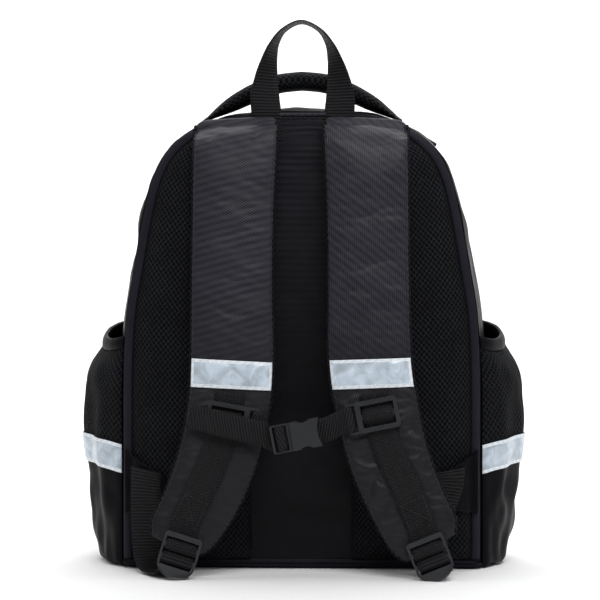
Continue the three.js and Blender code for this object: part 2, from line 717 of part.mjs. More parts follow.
// Lower webbing: from its tail behind the lip, over the lock's lower bar and away to the side tab
function adjusterWebbing(sideName) {
  const lock = lockFrame(sideName);
  const route = ADJUSTER[sideName].map((row) => ({
    point: vector(row.x, row.y, row.z),
    across: vector(row.ax, row.ay, row.az),
  }));
  const stations = LOCK_THREAD_LOWER.map((row) => ({
    point: lock.at(row.down, row.rise),
    across: lock.across,
  }));
  return webbing([...stations, ...route], WEBBING, WEBBING_THICKNESS);
}

// Wing of folded cloth between the side seam and the lower webbing
function sideTab(side) {
  const padFace = (reach) => {
    const distance = OUTLINE[OUTLINE.length - 1].halfWidth - GAP - PAD_INSET - reach;
    return distance < 0 ? -BINDING_RISE - 2 * GAP : -GAP - padRise(ease(distance / PAD_ROUND)) - GAP;
  };
  const face = (lift) => (u, v) => {
    const reach = lerp(TAB.seam, TAB.reach, u);
    const top = lerp(TAB.topSeam, TAB.topInner, u ** TAB_CURVE);
    const foot = lerp(TAB.footSeam, TAB.footInner, u);
    return vector(side * reach, padFace(reach) - TAB_LIFT - lift, lerp(foot, top, v));
  };
  return slab(face(CLOTH), face(0), 6, 3);
}

// Chest strap slider: its own x across the strap, y up it, z away from it
function sliderFrame(sideName) {
  const t = strapShare(SLIDER_HEIGHT[sideName]);
  const f = strapFrame(sideName, t);
  const lift = TAPE_LIFT + WEBBING_THICKNESS + GAP + SLIDER.thickness / 2;
  const origin = strapPoint(sideName, t, 0, lift);
  const up = f.tangent.clone().negate();
  const at = (x, y, n) =>
    origin.clone().addScaledVector(f.across, x).addScaledVector(up, y).addScaledVector(f.normal, n);
  return { origin, across: f.across, up, normal: f.normal, at };
}

function chestSlider(inner) {
  const { width, height, windowHeight, bar, thickness } = SLIDER;
  const { reach, corner } = RING;
  const shape = new THREE.Shape();
  const side = (x) => inner * x;
  const far = width / 2;
  const round = SLIDER.corner;
  shape.moveTo(side(-far + round), -height / 2).lineTo(side(far), -height / 2);
  shape.lineTo(side(far), -RING.height / 2).lineTo(side(reach - corner), -RING.height / 2);
  shape.quadraticCurveTo(side(reach), -RING.height / 2, side(reach), -RING.height / 2 + corner);
  shape.lineTo(side(reach), RING.height / 2 - corner);
  shape.quadraticCurveTo(side(reach), RING.height / 2, side(reach - corner), RING.height / 2);
  shape.lineTo(side(far), RING.height / 2).lineTo(side(far), height / 2);
  shape.lineTo(side(-far + round), height / 2);
  shape.quadraticCurveTo(side(-far), height / 2, side(-far), height / 2 - round);
  shape.lineTo(side(-far), -height / 2 + round);
  shape.quadraticCurveTo(side(-far), -height / 2, side(-far + round), -height / 2);
  const { upper, lower } = SLIDER_WINDOW;
  shape.holes.push(rectangle(-upper / 2, bar / 2, upper / 2, windowHeight / 2));
  shape.holes.push(rectangle(-lower / 2, -windowHeight / 2, lower / 2, -bar / 2));
  const slot = [side(RING.slotFrom), side(RING.slotTo)].sort((a, b) => a - b);
  shape.holes.push(rectangle(slot[0], -RING.slot / 2, slot[1], RING.slot / 2));
  return moulding(shape, thickness);
}

// Buckle frame: its own x along the chest strap, y up, z towards the wearer
const buckleTilt = degToRad(BUCKLE.tilt);
const buckleX = vector(Math.cos(buckleTilt), 0, Math.sin(buckleTilt));
const buckleY = vector(-Math.sin(buckleTilt), 0, Math.cos(buckleTilt));
const buckleAt = (x, n) =>
  vector(BUCKLE.x, BUCKLE.y, BUCKLE.z).addScaledVector(buckleX, x).addScaledVector(outwards, n);

function buckleMale() {
  const { from, to, height, thickness, corner } = MALE;
  const half = height / 2;
  const shape = new THREE.Shape();
  shape.moveTo(from + corner, -half).lineTo(to, -half).lineTo(to, half).lineTo(from + corner, half);
  shape.quadraticCurveTo(from, half, from, half - corner).lineTo(from, -half + corner);
  shape.quadraticCurveTo(from, -half, from + corner, -half);
  for (const row of MALE_SLOTS) shape.holes.push(rectangle(row.from, -row.width / 2, row.to, row.width / 2));
  return moulding(shape, thickness);
}

const wasm = await Module();
wasm.setup();

function solid(geometry) {
  geometry.deleteAttribute("normal");
  geometry.deleteAttribute("uv");
  const merged = mergeVertices(geometry, 1e-4);
  const vertProperties = merged.getAttribute("position").array;
  const triVerts = new Uint32Array(merged.getIndex().array);
  return new wasm.Manifold(new wasm.Mesh({ numProp: 3, vertProperties, triVerts }));
}

// Socket half: a body with a fishtail end, a waist for the prongs and a blind slot for the webbing behind.
function buckleFemale() {
  const { from, to, height, thickness, notch } = FEMALE;
  const half = height / 2;
  const waist = half - FEMALE_WAIST.deep;
  const shape = new THREE.Shape();
  shape.moveTo(from, -half).lineTo(FEMALE_WAIST.from, -half);
  shape.quadraticCurveTo(FEMALE_WAIST.middle, -waist, FEMALE_WAIST.to, -half).lineTo(to, -half);
  shape.quadraticCurveTo(to - notch, 0, to, half).lineTo(FEMALE_WAIST.to, half);
  shape.quadraticCurveTo(FEMALE_WAIST.middle, waist, FEMALE_WAIST.from, half).lineTo(from, half).closePath();
  const body = solid(moulding(shape, thickness));
  const slot = FEMALE_SLOT;
  const cutter = new THREE.BoxGeometry(slot.to - slot.from, slot.width, 2 * slot.deep);
  cutter.translate((slot.from + slot.to) / 2, 0, -thickness / 2);
  const { vertProperties, triVerts } = body.subtract(solid(cutter)).getMesh();
  return facingOut([...vertProperties], [...triVerts]);
}

// Webbing hooked round the bar of a slider's ring, ready to run on to the buckle.
function ringHook(sideName, inner) {
  const slider = sliderFrame(sideName);
  return RING_HOOK.map((row) => ({ point: slider.at(inner * row.reach, 0, row.rise), across: slider.up }));
}

function chestWebbingLeft() {
  const through = MALE_THREAD.map((row) => ({ point: buckleAt(row.along, row.rise), across: buckleY }));
  const lean = degToRad(CHEST_TAIL_LEAN);
  const tailAcross = vector(Math.sin(lean), 0, Math.cos(lean));
  const tail = CHEST_TAIL.map((row) => ({ point: vector(row.x, row.y, row.z), across: tailAcross }));
  return webbing([...ringHook("left", 1), ...through, ...tail], CHEST_WEBBING, WEBBING_THICKNESS);
}

function chestWebbingRight() {
  const through = FEMALE_THREAD.map((row) => ({ point: buckleAt(row.along, row.rise), across: buckleY }));
  return webbing([...ringHook("right", -1), ...through], CHEST_WEBBING, WEBBING_THICKNESS);
}

function makeStraps() {
  for (const [sideName, side] of [["left", -1], ["right", 1]]) {
    place(`back_pad_${sideName}`, backPad(side), "mesh");
    place(`edge_binding_${sideName}`, edgeBinding(side), "cloth");
    place(`shoulder_strap_${sideName}`, shoulderStrap(sideName), "cloth");
    place(`strap_tape_${sideName}`, strapTape(sideName), "tape");
    place(`strap_webbing_${sideName}`, strapWebbing(sideName), "webbing");
    place(`adjuster_webbing_${sideName}`, adjusterWebbing(sideName), "webbing");
    place(`side_tab_${sideName}`, sideTab(side), "cloth");
    const lock = lockFrame(sideName);
    const up = lock.along.clone().negate();
    orient(place(`ladder_lock_${sideName}`, ladderLock(), "plastic"), lock.origin, lock.across, up, outwards);
    const slider = sliderFrame(sideName);
    const frame = place(`chest_slider_${sideName}`, chestSlider(-side), "plastic");
    orient(frame, slider.origin, slider.across, slider.up, slider.normal);
  }
  place("chest_webbing_left", chestWebbingLeft(), "webbing");
  place("chest_webbing_right", chestWebbingRight(), "webbing");
  const middle = buckleAt(0, 0);
  orient(place("buckle_male", buckleMale(), "plastic"), middle, buckleX, buckleY, outwards);
  orient(place("buckle_female", buckleFemale(), "plastic"), middle, buckleX, buckleY, outwards);
}

// Grab loop: each leg turns a quarter so that the top lies flat
function grabLoop() {
  const half = LOOP.map((row) => {
    const turn = degToRad(row.turn);
    return {
      point: vector(-row.reach, row.back, row.height),
      across: vector(Math.cos(turn), Math.sin(turn), 0),
    };
  });
  const other = half.slice(0, -1).reverse().map(({ point, across }) => ({
    point: vector(-point.x, point.y, point.z),
    across: vector(-across.x, across.y, 0),
  }));
  return webbing([...half, ...other], WEBBING, LOOP_THICKNESS);
}

// Carry handle: a padded arch whose feet lie flat on the body's top
function carryHandle() {
  const frame = (u) => {
    const sign = u < 0.5 ? -1 : 1;
    const share = 1 - Math.abs(2 * u - 1);
    const row = (name) => column(HANDLE, name, share);
    const point = vector(sign * row("reach"), HANDLE_BACK, row("height"));
    return { point, thickness: row("thickness"), flat: row("flat") };
  };
  const centre = (u) => frame(THREE.MathUtils.clamp(u, 0, 1)).point;
  const face = (sign) => (u, v) => {
    const f = frame(u);
    const w = 2 * v - 1;
    const tangent = centre(u + 0.01).sub(centre(u - 0.01)).normalize();
    const normal = vector(-tangent.z, 0, tangent.x);
    const edge = Math.min(f.thickness, STRAP_EDGE) / 2;
    const half = edge + (f.thickness / 2 - edge) * Math.sqrt(1 - HANDLE_ROUNDNESS * w * w);
    const rise = f.flat * HANDLE_FOOT_TILT * w;
    return centre(u).add(vector(0, (w * HANDLE_WIDTH) / 2, rise)).addScaledVector(normal, sign * half);
  };
  return slab(face(1), face(-1), 20, 5);
}

// Side pocket: u runs round it from the back seam to the front one, height up it
function pocketPoint(side, share, height) {
  const u = THREE.MathUtils.clamp(share, 0, 1);
  const w = (1 - Math.cos(Math.PI * u)) / 2;
  const base = bodySide(height, lerp(POCKET_FROM, POCKET_TO, w));
  const out = column(POCKET, "out", shareWhere((s) => column(POCKET, "height", s), height, 0, 1));
  const belly = Math.sin(Math.PI * w) ** POCKET_FULLNESS;
  const open = between(height, POCKET_PLEAT_RISE) * (1 - between(height, POCKET_PLEAT_END));
  const fold = POCKET_PLEAT_DEPTH * open * belly * Math.cos(2 * Math.PI * POCKET_PLEATS * u);
  const drop = POCKET_DROP * between(height, POCKET_DROP_FROM);
  const slant = POCKET_SLANT * between(height, POCKET_SLANT_RISE) - drop;
  return vector(side * (base.x + POCKET_STAND + belly * out + fold), base.y, height + belly * slant);
}

// Band of the pocket between two heights, whose outer face stands above the pocket's own surface by lift.
function pocketBand(side, from, to, thickness, lift, steps, crowding = 1) {
  const surface = (u, v) => pocketPoint(side, u, lerp(from, to, Math.max(v, 0) ** crowding));
  const face = (rise) => (u, v) => surface(u, v).addScaledVector(normalAt(surface, u, v), side * rise);
  return slab(face(lift), face(lift - thickness), AROUND_POCKET, steps);
}

function makePockets() {
  for (const [sideName, side] of [["left", -1], ["right", 1]]) {
    const band = (...shape) => pocketBand(side, ...shape);
    const cloth = band(POCKET_FOOT, POCKET_SEAM, POCKET_WALL, 0, 7, POCKET_CROWDING);
    place(`pocket_cloth_${sideName}`, cloth, "cloth");
    place(`pocket_net_${sideName}`, band(POCKET_SEAM + GAP, POCKET_RIM, POCKET_WALL, 0, 5), "mesh");
    const hem = band(POCKET_RIM + GAP, POCKET_TOP, POCKET_HEM, POCKET_HEM_LIFT, 1);
    place(`pocket_hem_${sideName}`, hem, "webbing");
    const foot = POCKET_SEAM - POCKET_TAPE / 2;
    const lift = TAPE_THICKNESS + GAP;
    place(`pocket_tape_${sideName}`, band(foot, foot + POCKET_TAPE, TAPE_THICKNESS, lift, 2), "tape");
  }
}

makeBody();
makeStraps();
place("grab_loop", grabLoop(), "webbing");
place("carry_handle", carryHandle(), "mesh");
makePockets();

export default bag;
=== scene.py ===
"""School backpack from the wearer's side: soft goods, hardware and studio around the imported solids."""

import math

import bmesh
import bpy
import numpy as np
from bpy.props import FloatProperty, FloatVectorProperty, PointerProperty
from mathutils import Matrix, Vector


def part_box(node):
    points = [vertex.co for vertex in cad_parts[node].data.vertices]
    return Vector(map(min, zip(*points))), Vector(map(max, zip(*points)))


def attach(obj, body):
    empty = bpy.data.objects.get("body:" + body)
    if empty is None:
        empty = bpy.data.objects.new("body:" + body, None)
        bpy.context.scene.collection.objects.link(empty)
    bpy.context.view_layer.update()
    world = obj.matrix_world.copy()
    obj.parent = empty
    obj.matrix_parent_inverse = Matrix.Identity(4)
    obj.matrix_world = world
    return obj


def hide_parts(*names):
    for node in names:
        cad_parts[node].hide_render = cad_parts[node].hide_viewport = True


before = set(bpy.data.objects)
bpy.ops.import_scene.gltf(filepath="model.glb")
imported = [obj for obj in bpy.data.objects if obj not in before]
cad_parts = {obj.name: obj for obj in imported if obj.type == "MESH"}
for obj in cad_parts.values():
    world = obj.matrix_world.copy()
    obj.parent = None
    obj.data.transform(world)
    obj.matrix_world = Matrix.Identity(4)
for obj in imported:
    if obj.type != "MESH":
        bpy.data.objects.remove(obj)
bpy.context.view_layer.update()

bl_info = {
    "name": "School Backpack",
    "version": (1, 0, 0),
    "blender": (4, 5, 0),
    "location": "3D View > Sidebar > Backpack",
    "description": "Builds a school backpack with padded back, straps, chest strap and side pockets",
    "category": "Add Mesh",
}

MM = 0.001
SIDES = (("left", -1), ("right", 1))
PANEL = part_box("back_panel")[0].y / MM  # depth of the back panel's outer face, which the tables count from

# The bag's own measures in millimetres, x to the right, y back from the panel's outer face, z up
GAP = 0.4
HEIGHT = 381
FOOT = 6.9
PANEL_THICKNESS = 4
DEPTH_BASE, DEPTH_TOP, DEPTH_LEAN = 150, 108, 1.5
BULGE = 8
FRONT_INSET_SIDE, FRONT_INSET_TOP = 6, 26
FRONT_TAPER = (230, 372)
FRONT_ROUND, FRONT_ROUND_FROM = 17, 0.88
FRONT_DOME, FRONT_CORNER = 13, 0.36
ZIP_FROM, ZIP_TO, ZIP_THICKNESS = 0.42, 0.5, 1.6
COIL_STEP, COIL_TOOTH, COIL_WAIST = 0.75, 1.75, 1.15
BODY_MIDDLE = (0, 60, 180)
RIPPLE_PITCH, RIPPLE_DEPTH, RIPPLE_SLANT, RIPPLE_LEVELS = 5.6, 0.16, 0.02, (215, 345)
CHANNEL_CROWN = 0.9
PIPING, PANEL_BINDING = 1.9, 1.3  # radii of the sewn cords
PANEL_BINDING_FROM, PANEL_BINDING_TO, PANEL_BINDING_LEVEL, PANEL_BINDING_OUT = -19, 21, 378.6, 1.5
PANEL_SEAM_OUT, PANEL_SEAM_BELOW = 0.4, 3.2  # from the binding
FRONT_PIPING_BACK, BASE_PIPING_OUT, BASE_PIPING_SHORT = 1.6, 0.3, 3
BASE_THICKNESS, BASE_ROUND = 6.5, 2.5
CLOTH = 2
PAD_INNER, PAD_FOOT, PAD_INSET = 42, 9, 7.6
PAD_EDGE, PAD_CROWN, PAD_ROUND, PAD_ROUND_TOP, PAD_TOP_REACH = 3, 14, 25, 60, 80
PAD_SWELLING = 1.5  # height that the pad's cover gains as it swells
BINDING_RISE, BINDING_EDGE, BINDING_TURN, BINDING_TOP_REACH = 4, 0.35, 0.76, 91
STRAP_EDGE, STRAP_EDGING, STRAP_EDGING_BEAD, STRAP_EDGING_TURN = 3, 1.5, 0.22, 2.1
STITCH_REACH, STITCH_LIFT = 0.95, 0.1  # share of the half width where a row runs, height above the cloth
STRAP_CREASE, STRAP_CREASE_WIDTH, STRAP_CREASE_BELOW = 0.9, 2, 8
STRAP_CORNER_DROP, STRAP_CORNER_LENGTH = 5, 14
STRAP_TWILL_TURN = {"left": -15, "right": 40}  # degrees that the cloth was turned when it was cut
TAPE_LIFT, TAPE_THICKNESS = 0.6, 0.8
TAPE_BORDER, TAPE_BORDER_ENDS = 0.13, 0.045  # shares of the band's height and of its length
TAPE_REACH, TAPE_PUFF, TAPE_SEAM = 0.98, 0.3, 0.75  # share of the half width, rise, share of the border
STRAP_TAPE_TOP, STRAP_TAPE_FOOT = 174.5, 151
TAPE_ENDS = {  # heights of the bands' upper and lower edges, each at its left and right end
    "left": ((176.4, 173.0), (153.4, 150.2)), "right": ((174.8, 177.0), (151.2, 153.8)),
}
WEBBING, CHEST_WEBBING, WEBBING_THICKNESS, LOOP_THICKNESS = 25, 20, 1.2, 1.4
STRAP_WEBBING_TOP = 148
BOX_TOP, BOX_FOOT, BOX_INSET, BOX_LIFT = 26, 7, 3, 0.75  # stitched box, from the ladder lock's middle up
LOCK_LEVEL = -65.6
SLIDER_HEIGHT, SLIDER_THICKNESS = {"left": 126.5, "right": 130.5}, 3
STRAP_PLANE = -35  # depth that the shoulder straps lie at on the whole
LOOP_FLARE = 3.5  # how far the loop's right leg stands out at its foot
HANDLE_BACK, HANDLE_WIDTH, HANDLE_FOOT_LEAN = 30, 28, 1.92
POCKET_FOOT, POCKET_SEAM, POCKET_TAPE, POCKET_RIM, POCKET_TOP = 1.2, 91, 24, 198, 209
POCKET_SLANT, POCKET_DROP, POCKET_FROM, POCKET_TO, POCKET_WALL, POCKET_STAND = 8, 13.5, 0.045, 0.87, 1.2, 1.05
POCKET_PLEATS, POCKET_PLEAT_DEPTH, POCKET_FULLNESS, POCKET_DIP = 5, 2.2, 0.55, 15
POCKET_PLEATS_OPEN, POCKET_PLEATS_CLOSE = (12, 60), (110, 170)  # heights over which they open and close
POCKET_LEAN, POCKET_TOP_LEAN = (10, 80), (120, 205)  # heights over which the pocket slants and drops
POCKET_TAPE_HOLD, POCKET_TAPE_RELEASE = (55, 76), (106, 125)  # heights over which the tape holds the cloth
HEM_THICKNESS, HEM_LIFT, HEM_ROLL = 2.2, 0.5, 1.1
TAB_LIFT = 0.6
MOULD_EDGE = 0.8  # round of the plastic's edges

# Settling of the padded covers: frames, mass of a point, stiffness, damping, share of spare cloth
CLOTH_FRAMES, CLOTH_MASS, CLOTH_BENDING, CLOTH_AIR = 16, 0.02, 0.6, 1
CLOTH_STRETCH, CLOTH_SHEAR, CLOTH_QUALITY = 15, 5, 6
STRAP_SPARE, HANDLE_SPARE = 0.045, 0.02
SPARE_CLOTH = {"left": (0.2, 0.5), "right": (1, 0.5)}  # of the lower straps, at the inner and outer edge
SPARE_ABOVE, SPARE_LEVELS = 0.12, (130, 200)  # of the upper straps, and the heights where it changes
BEHIND_HELD = 0.6  # share of hold on a strap's mesh back

# Soft relief of the cloths: height of its waves, their length, seed, stretch along x, y and z
RELIEF = {
    "channel sway": (1.6, 60, 11, (1, 1, 1)), "channel": (0.35, 45, 12, (1.6, 1, 0.7)),
    "gusset_rear": (1, 50, 3, (1, 1.4, 0.8)), "gusset_rear creases": (0.25, 17, 73, (1, 1.8, 0.9)),
    "gusset_front": (1, 50, 4, (1, 1.4, 0.8)), "gusset_front creases": (0.25, 17, 74, (1, 1.8, 0.9)),
    "front panel": (1.5, 80, 5, (1, 1, 1)), "front panel creases": (0.35, 24, 6, (1, 1, 2.4)),
    "pad": (0.4, 55, 21, (1, 1, 1)),
    "strap": (0.3, 34, 31, (1.5, 1, 0.8)), "strap creases": (0.12, 9, 35, (2, 1, 0.7)),
    "band": (0.5, 14, 41, (1, 1, 1.4)), "side tab": (0.5, 22, 51, (1, 1, 1)),
    "pocket": (0.8, 26, 61, (1, 0.6, 2.2)),
}
GUSSET_LOOSE = (0.55, 1.2)  # share of the gussets' relief beside the pockets and above them
POCKET_LOOSE = {"cloth": 2.0, "net": 0.5, "hem": 0.2, "tape": 0.3}

# Right half of the back panel's outline: half width, height
OUTLINE = np.array([
    (0, 381), (45, 378.5), (84, 369.5), (109, 352), (123.5, 328), (131.5, 297),
    (140, 250), (146, 212), (148.5, 165), (148.5, 85), (148.5, 6.9),
])
# Shoulder strap sections: reach left, reach right, out, height, slope in degrees, width, the right one's
# extra width, thickness
STRAP = np.array([
    (53.5, 53.5, 3.4, 374.6, 12, 69, 0, 3.2), (53.6, 53.6, 7.6, 367.6, 11.5, 69, 0, 4.5),
    (53.8, 53.8, 17.5, 356, 10, 68.5, 0, 7.5), (54.2, 54.4, 22.5, 338, 5.5, 67.5, 0, 10),
    (55.3, 55.4, 26, 295, 2, 66, 0, 11), (55.8, 55.9, 31, 235, 0, 65.5, 0, 11),
    (55.3, 57, 37, 175, -3, 67, 0, 11), (57.5, 62.5, 42, 137, -8, 66, 0, 11),
    (66, 72, 48, 97, -16, 63, 0.5, 10.5), (79.5, 86.2, 53, 62, -20, 59, 1.5, 10),
    (95, 99.8, 57, 36, -22, 52, 5, 9), (100.5, 106.2, 58.5, 25, -22, 38, 5, 6),
])
STRAP_OUT, STRAP_HEIGHT, STRAP_SLOPE, STRAP_WIDTH, STRAP_MORE, STRAP_THICKNESS = range(2, 8)
# Grab loop from its foot to the top: reach, back, height, turn in degrees
LOOP = np.array([
    (28.6, -1.3, 357, 0), (29.3, -1.3, 381, 0), (30.2, -1, 392, 16), (29.5, 0, 407, 40),
    (27, 1, 423, 60), (22.5, 2, 438, 76), (14.5, 3, 449.5, 86), (0, 3, 456, 90),
])
# Carry handle from its foot to the top: reach, height, thickness, flatness
HANDLE = np.array([
    (84, 375.7, 2.6, 1), (74, 381.8, 5, 0.9), (60, 389.5, 12, 0.35), (42, 398, 15.5, 0),
    (21, 406, 16, 0), (0, 408.5, 16, 0),
])
# Side pocket: height, how far it stands out from the body
POCKET = np.array([
    (1.2, 0.6), (2.4, 15), (6, 19.5), (16, 21.3), (30, 24.2), (46, 25.8), (60, 26.8), (74, 29), (91, 31.8),
    (112, 33.1), (135, 32.2), (149, 32.2), (163, 31.2), (177, 28), (188, 23.3), (198, 18.5), (209, 16.5),
])
# Lower webbing on its way to the side tab: x, y, z and the direction across it
ADJUSTER = {
    "left": np.array([
        (-105.5, -53, 3, 0.93, 0.3, -0.06), (-113, -40, 2.2, 0.9, 0.44, 0), (-121, -26.5, 4.5, 0.93, 0.37, 0),
        (-125.5, -20.5, 15, 0.98, 0.16, 0), (-127.5, -18.4, 34, 1, 0, 0), (-128, -18.4, 58, 1, 0, 0),
        (-128, -18.4, 84, 0.97, 0, -0.24),
    ]),
    "right": np.array([
        (110.5, -54, 4.8, 0.96, -0.1, 0.24), (109.5, -44, 6.5, 0.99, -0.1, 0.1),
        (108, -33, 15, 0.99, -0.08, -0.05), (109, -25, 32, 0.98, -0.04, -0.14), (115, -20, 54, 0.97, 0, -0.2),
        (121, -18.4, 70, 0.98, 0, -0.12), (123, -18.4, 84, 0.98, 0, 0.2),
    ]),
}
# Ladder locks: x, z and turn in degrees
LOCK_PLACE = {"left": (-91.2, 35.6, -17.5), "right": (99.2, 34, 22)}
# Threaded webbing: the way along the hardware, the rise above its middle plane
SLIDER_THREAD = [(8.6, -2.5), (5.7, -0.5), (3.3, 2.1), (0, 2.8), (-3.3, 2.1), (-5.7, -0.5), (-8.6, -2.5)]
LOCK_THREAD_UPPER = [
    (2.5, -2.8), (4.8, -2.1), (6, 0.2), (7.9, 2.5), (10.5, 2.8), (13.1, 2.4), (14.7, 0.2), (13.6, -2.3),
    (11, -2.7),
]
LOCK_THREAD_LOWER = [
    (33, -2.6), (28, -2.6), (25.4, -1.9), (24.7, 0.2), (23.1, 2.4), (20.5, 2.8), (17.9, 2.5), (16.6, 0.1),
    (17, -2.4), (19.5, -4.2), (24, -4.7), (29, -5),
]
RING_HOOK = [(27.5, -2.5), (24.2, -2.7), (20.8, -1.7), (20.2, 0.4), (21.6, 2.3), (25, 2.5), (28, 1.7)]
MALE_THREAD = [
    (-19, -5.5), (-14, -5), (-11, -3.7), (-9, -1.6), (-8.9, 1), (-10.4, 3), (-12.75, 3.3), (-15.1, 2.9),
    (-16.6, 0.7), (-17, -2.3), (-19.4, -3.5),
]
FEMALE_THREAD = [(24, -4.7), (18.5, -4.7), (15.2, -4.3), (13.9, -2.6), (13.75, -0.6)]
CHEST_TAIL = np.array([
    (-28, -58, 115.8), (-36, -59.2, 117.8), (-47, -59.6, 120.5), (-60, -59.4, 123.7), (-75, -58.2, 127.3),
    (-89, -55.8, 130.8),
])
CHEST_TAIL_LEAN = 13.8
# Strap webbing below the slider: height, share of the strap's half width that it lies towards the outer edge
STRAP_WEBBING_RUN = ((107, 0.03), (90, 0.09), (72, 0.13), (54, 0.12), (43, 0.06))
BUCKLE = {"x": -2, "y": -60, "z": 115, "tilt": 11}
TAB = {"top_seam": 101, "foot_seam": 47, "top_inner": 78, "foot_inner": 53, "reach": 112, "seam": 146.4}


# Curves and surfaces of the bag

def lerp(a, b, t):
    return a + (b - a) * t


def smooth(value, low, high):
    """Eased share of the way from low to high."""
    t = np.clip((value - low) / (high - low), 0, 1)
    return t * t * (3 - 2 * t)


def unit(v):
    return v / np.maximum(np.linalg.norm(v, axis=-1, keepdims=True), 1e-9)


def catmull(points, shares):
    """Smooth reading of a table of points at shares of its length."""
    points = np.asarray(points, float)
    last = len(points) - 1
    at = np.clip(np.asarray(shares, float), 0, 1) * last
    i = np.minimum(at.astype(int), last - 1)
    t = (at - i)[..., None]
    a, b, c, d = (points[np.clip(i + k, 0, last)] for k in (-1, 0, 1, 2))
    return b + 0.5 * t * (c - a + t * (2 * a - 5 * b + 4 * c - d + t * (3 * (b - c) + d - a)))


def threaded(points, steps):
    """Smooth line through unevenly spaced points, with the same number of steps between each two."""
    p = np.asarray(points, float)
    p = np.vstack([2 * p[0] - p[1], p, 2 * p[-1] - p[-2]])
    gaps = np.sqrt(np.linalg.norm(np.diff(p, axis=0), axis=1))[:, None]
    x0, x1, x2, x3 = p[:-3], p[1:-2], p[2:-1], p[3:]
    g0, g1, g2 = gaps[:-2], gaps[1:-1], gaps[2:]
    t1 = ((x1 - x0) / g0 - (x2 - x0) / (g0 + g1) + (x2 - x1) / g1) * g1
    t2 = ((x2 - x1) / g1 - (x3 - x1) / (g1 + g2) + (x3 - x2) / g2) * g1
    t = (np.arange(steps) / steps)[None, :, None]
    line = (
        (2 * t**3 - 3 * t**2 + 1) * x1[:, None] + (t**3 - 2 * t**2 + t) * t1[:, None]
        + (3 * t**2 - 2 * t**3) * x2[:, None] + (t**3 - t**2) * t2[:, None]
    )
    return np.vstack([line.reshape(-1, 3), x2[-1:]])


def lengths(path):
    """Distance along a path at each of its points."""
    return np.concatenate([[0], np.cumsum(np.linalg.norm(np.diff(path, axis=0), axis=1))])


def evenly(path, step):
    """The path again with its points about one step apart."""
    run = lengths(path)
    at = np.linspace(0, run[-1], max(int(run[-1] / step), 2) + 1)
    return np.stack([np.interp(at, run, path[:, k]) for k in range(3)], -1)


def swell(points, wavelength, seed, stretch=(1, 1, 1), count=14):
    """Irregular soft waves over points, about -1 to 1, the same each time for one seed."""
    rng = np.random.default_rng(seed)
    total = np.zeros(points.shape[:-1])
    for _ in range(count):
        direction = unit(rng.normal(size=3)) / np.array(stretch) * rng.uniform(0.6, 1.6)
        total += np.sin(points @ direction * (2 * math.pi / wavelength) + rng.uniform(0, 2 * math.pi))
    return total / math.sqrt(count)


def relief(points, kind, side=0):
    """Soft relief of one of the cloths in millimetres, which differs from side to side."""
    height, wavelength, seed, stretch = RELIEF[kind]
    return height * swell(points, wavelength, seed + side, stretch)


ARCH = np.vstack([OUTLINE[:0:-1] * (-1, 1), OUTLINE])
ARCH_LINE = catmull(ARCH, np.linspace(0, 1, 2001))
ARCH_RUN = lengths(ARCH_LINE)


def arch(share):
    at = np.clip(share, 0, 1) * ARCH_RUN[-1]
    return np.stack([np.interp(at, ARCH_RUN, ARCH_LINE[:, k]) for k in (0, 1)], -1)


def arch_share(height):
    """Share of the arch at a height on its right side."""
    right = slice(len(ARCH_LINE) // 2, None)
    return np.interp(height, ARCH_LINE[right, 1][::-1], (ARCH_RUN[right] / ARCH_RUN[-1])[::-1])


def arch_reach(reach):
    """Share of the arch at a reach to the right of its top."""
    right = slice(len(ARCH_LINE) // 2, -1 - len(ARCH_LINE) // 4)
    return np.interp(reach, ARCH_LINE[right, 0], ARCH_RUN[right] / ARCH_RUN[-1])


def arch_point(share, inset, y):
    point = arch(share)
    tangent = unit(arch(np.asarray(share) + 0.002) - arch(np.asarray(share) - 0.002))
    x = point[..., 0] + tangent[..., 1] * inset
    z = point[..., 1] - tangent[..., 0] * inset
    return np.stack(np.broadcast_arrays(x, y, z), -1)


def depth_at(height):
    return lerp(DEPTH_BASE, DEPTH_TOP, (np.maximum(height, 0) / HEIGHT) ** DEPTH_LEAN)


def body_inset(height, back):
    taper = back**2 * lerp(FRONT_INSET_SIDE, FRONT_INSET_TOP, smooth(height, *FRONT_TAPER))
    turn = np.maximum(back - FRONT_ROUND_FROM, 0) / (1 - FRONT_ROUND_FROM)
    corner = FRONT_ROUND * (1 - np.sqrt(np.maximum(1 - turn**2, 0)))
    return taper + corner - BULGE * np.sin(math.pi * back)


def body_point(share, back):
    height = arch(share)[..., 1]
    return arch_point(share, body_inset(height, back), back * depth_at(height))


def body_side(height, back):
    """Right side of the body at a height."""
    point = body_point(arch_share(np.maximum(height, FOOT)), back)
    point[..., 2] = height
    return point


def patch(bottom, top, left, right, u, v):
    """Four-sided surface stretched between its edges, which are functions of a share."""
    u, v = u[..., None], v[..., None]
    at = lambda edge, share: edge(share[..., 0])
    zero, one = np.zeros(1), np.ones(1)
    ruled = at(bottom, u) * (1 - v) + at(top, u) * v + at(left, v) * (1 - u) + at(right, v) * u
    lower = bottom(zero) * (1 - u) * (1 - v) + bottom(one) * u * (1 - v)
    upper = top(zero) * (1 - u) * v + top(one) * u * v
    return ruled - (lower + upper)


def ease(share):
    return np.sqrt(1 - (1 - np.clip(share, 0, 1)) ** 2)


def strap_column(column, t):
    return catmull(STRAP[:, [column]], t)[..., 0]


def strap_width(side_name, t):
    return strap_column(STRAP_WIDTH, t) + (strap_column(STRAP_MORE, t) if side_name == "right" else 0)


def strap_share(height):
    t = np.linspace(0, 1, 1001)
    return np.interp(-np.asarray(height, float), -catmull(STRAP[:, [STRAP_HEIGHT]], t)[:, 0], t)


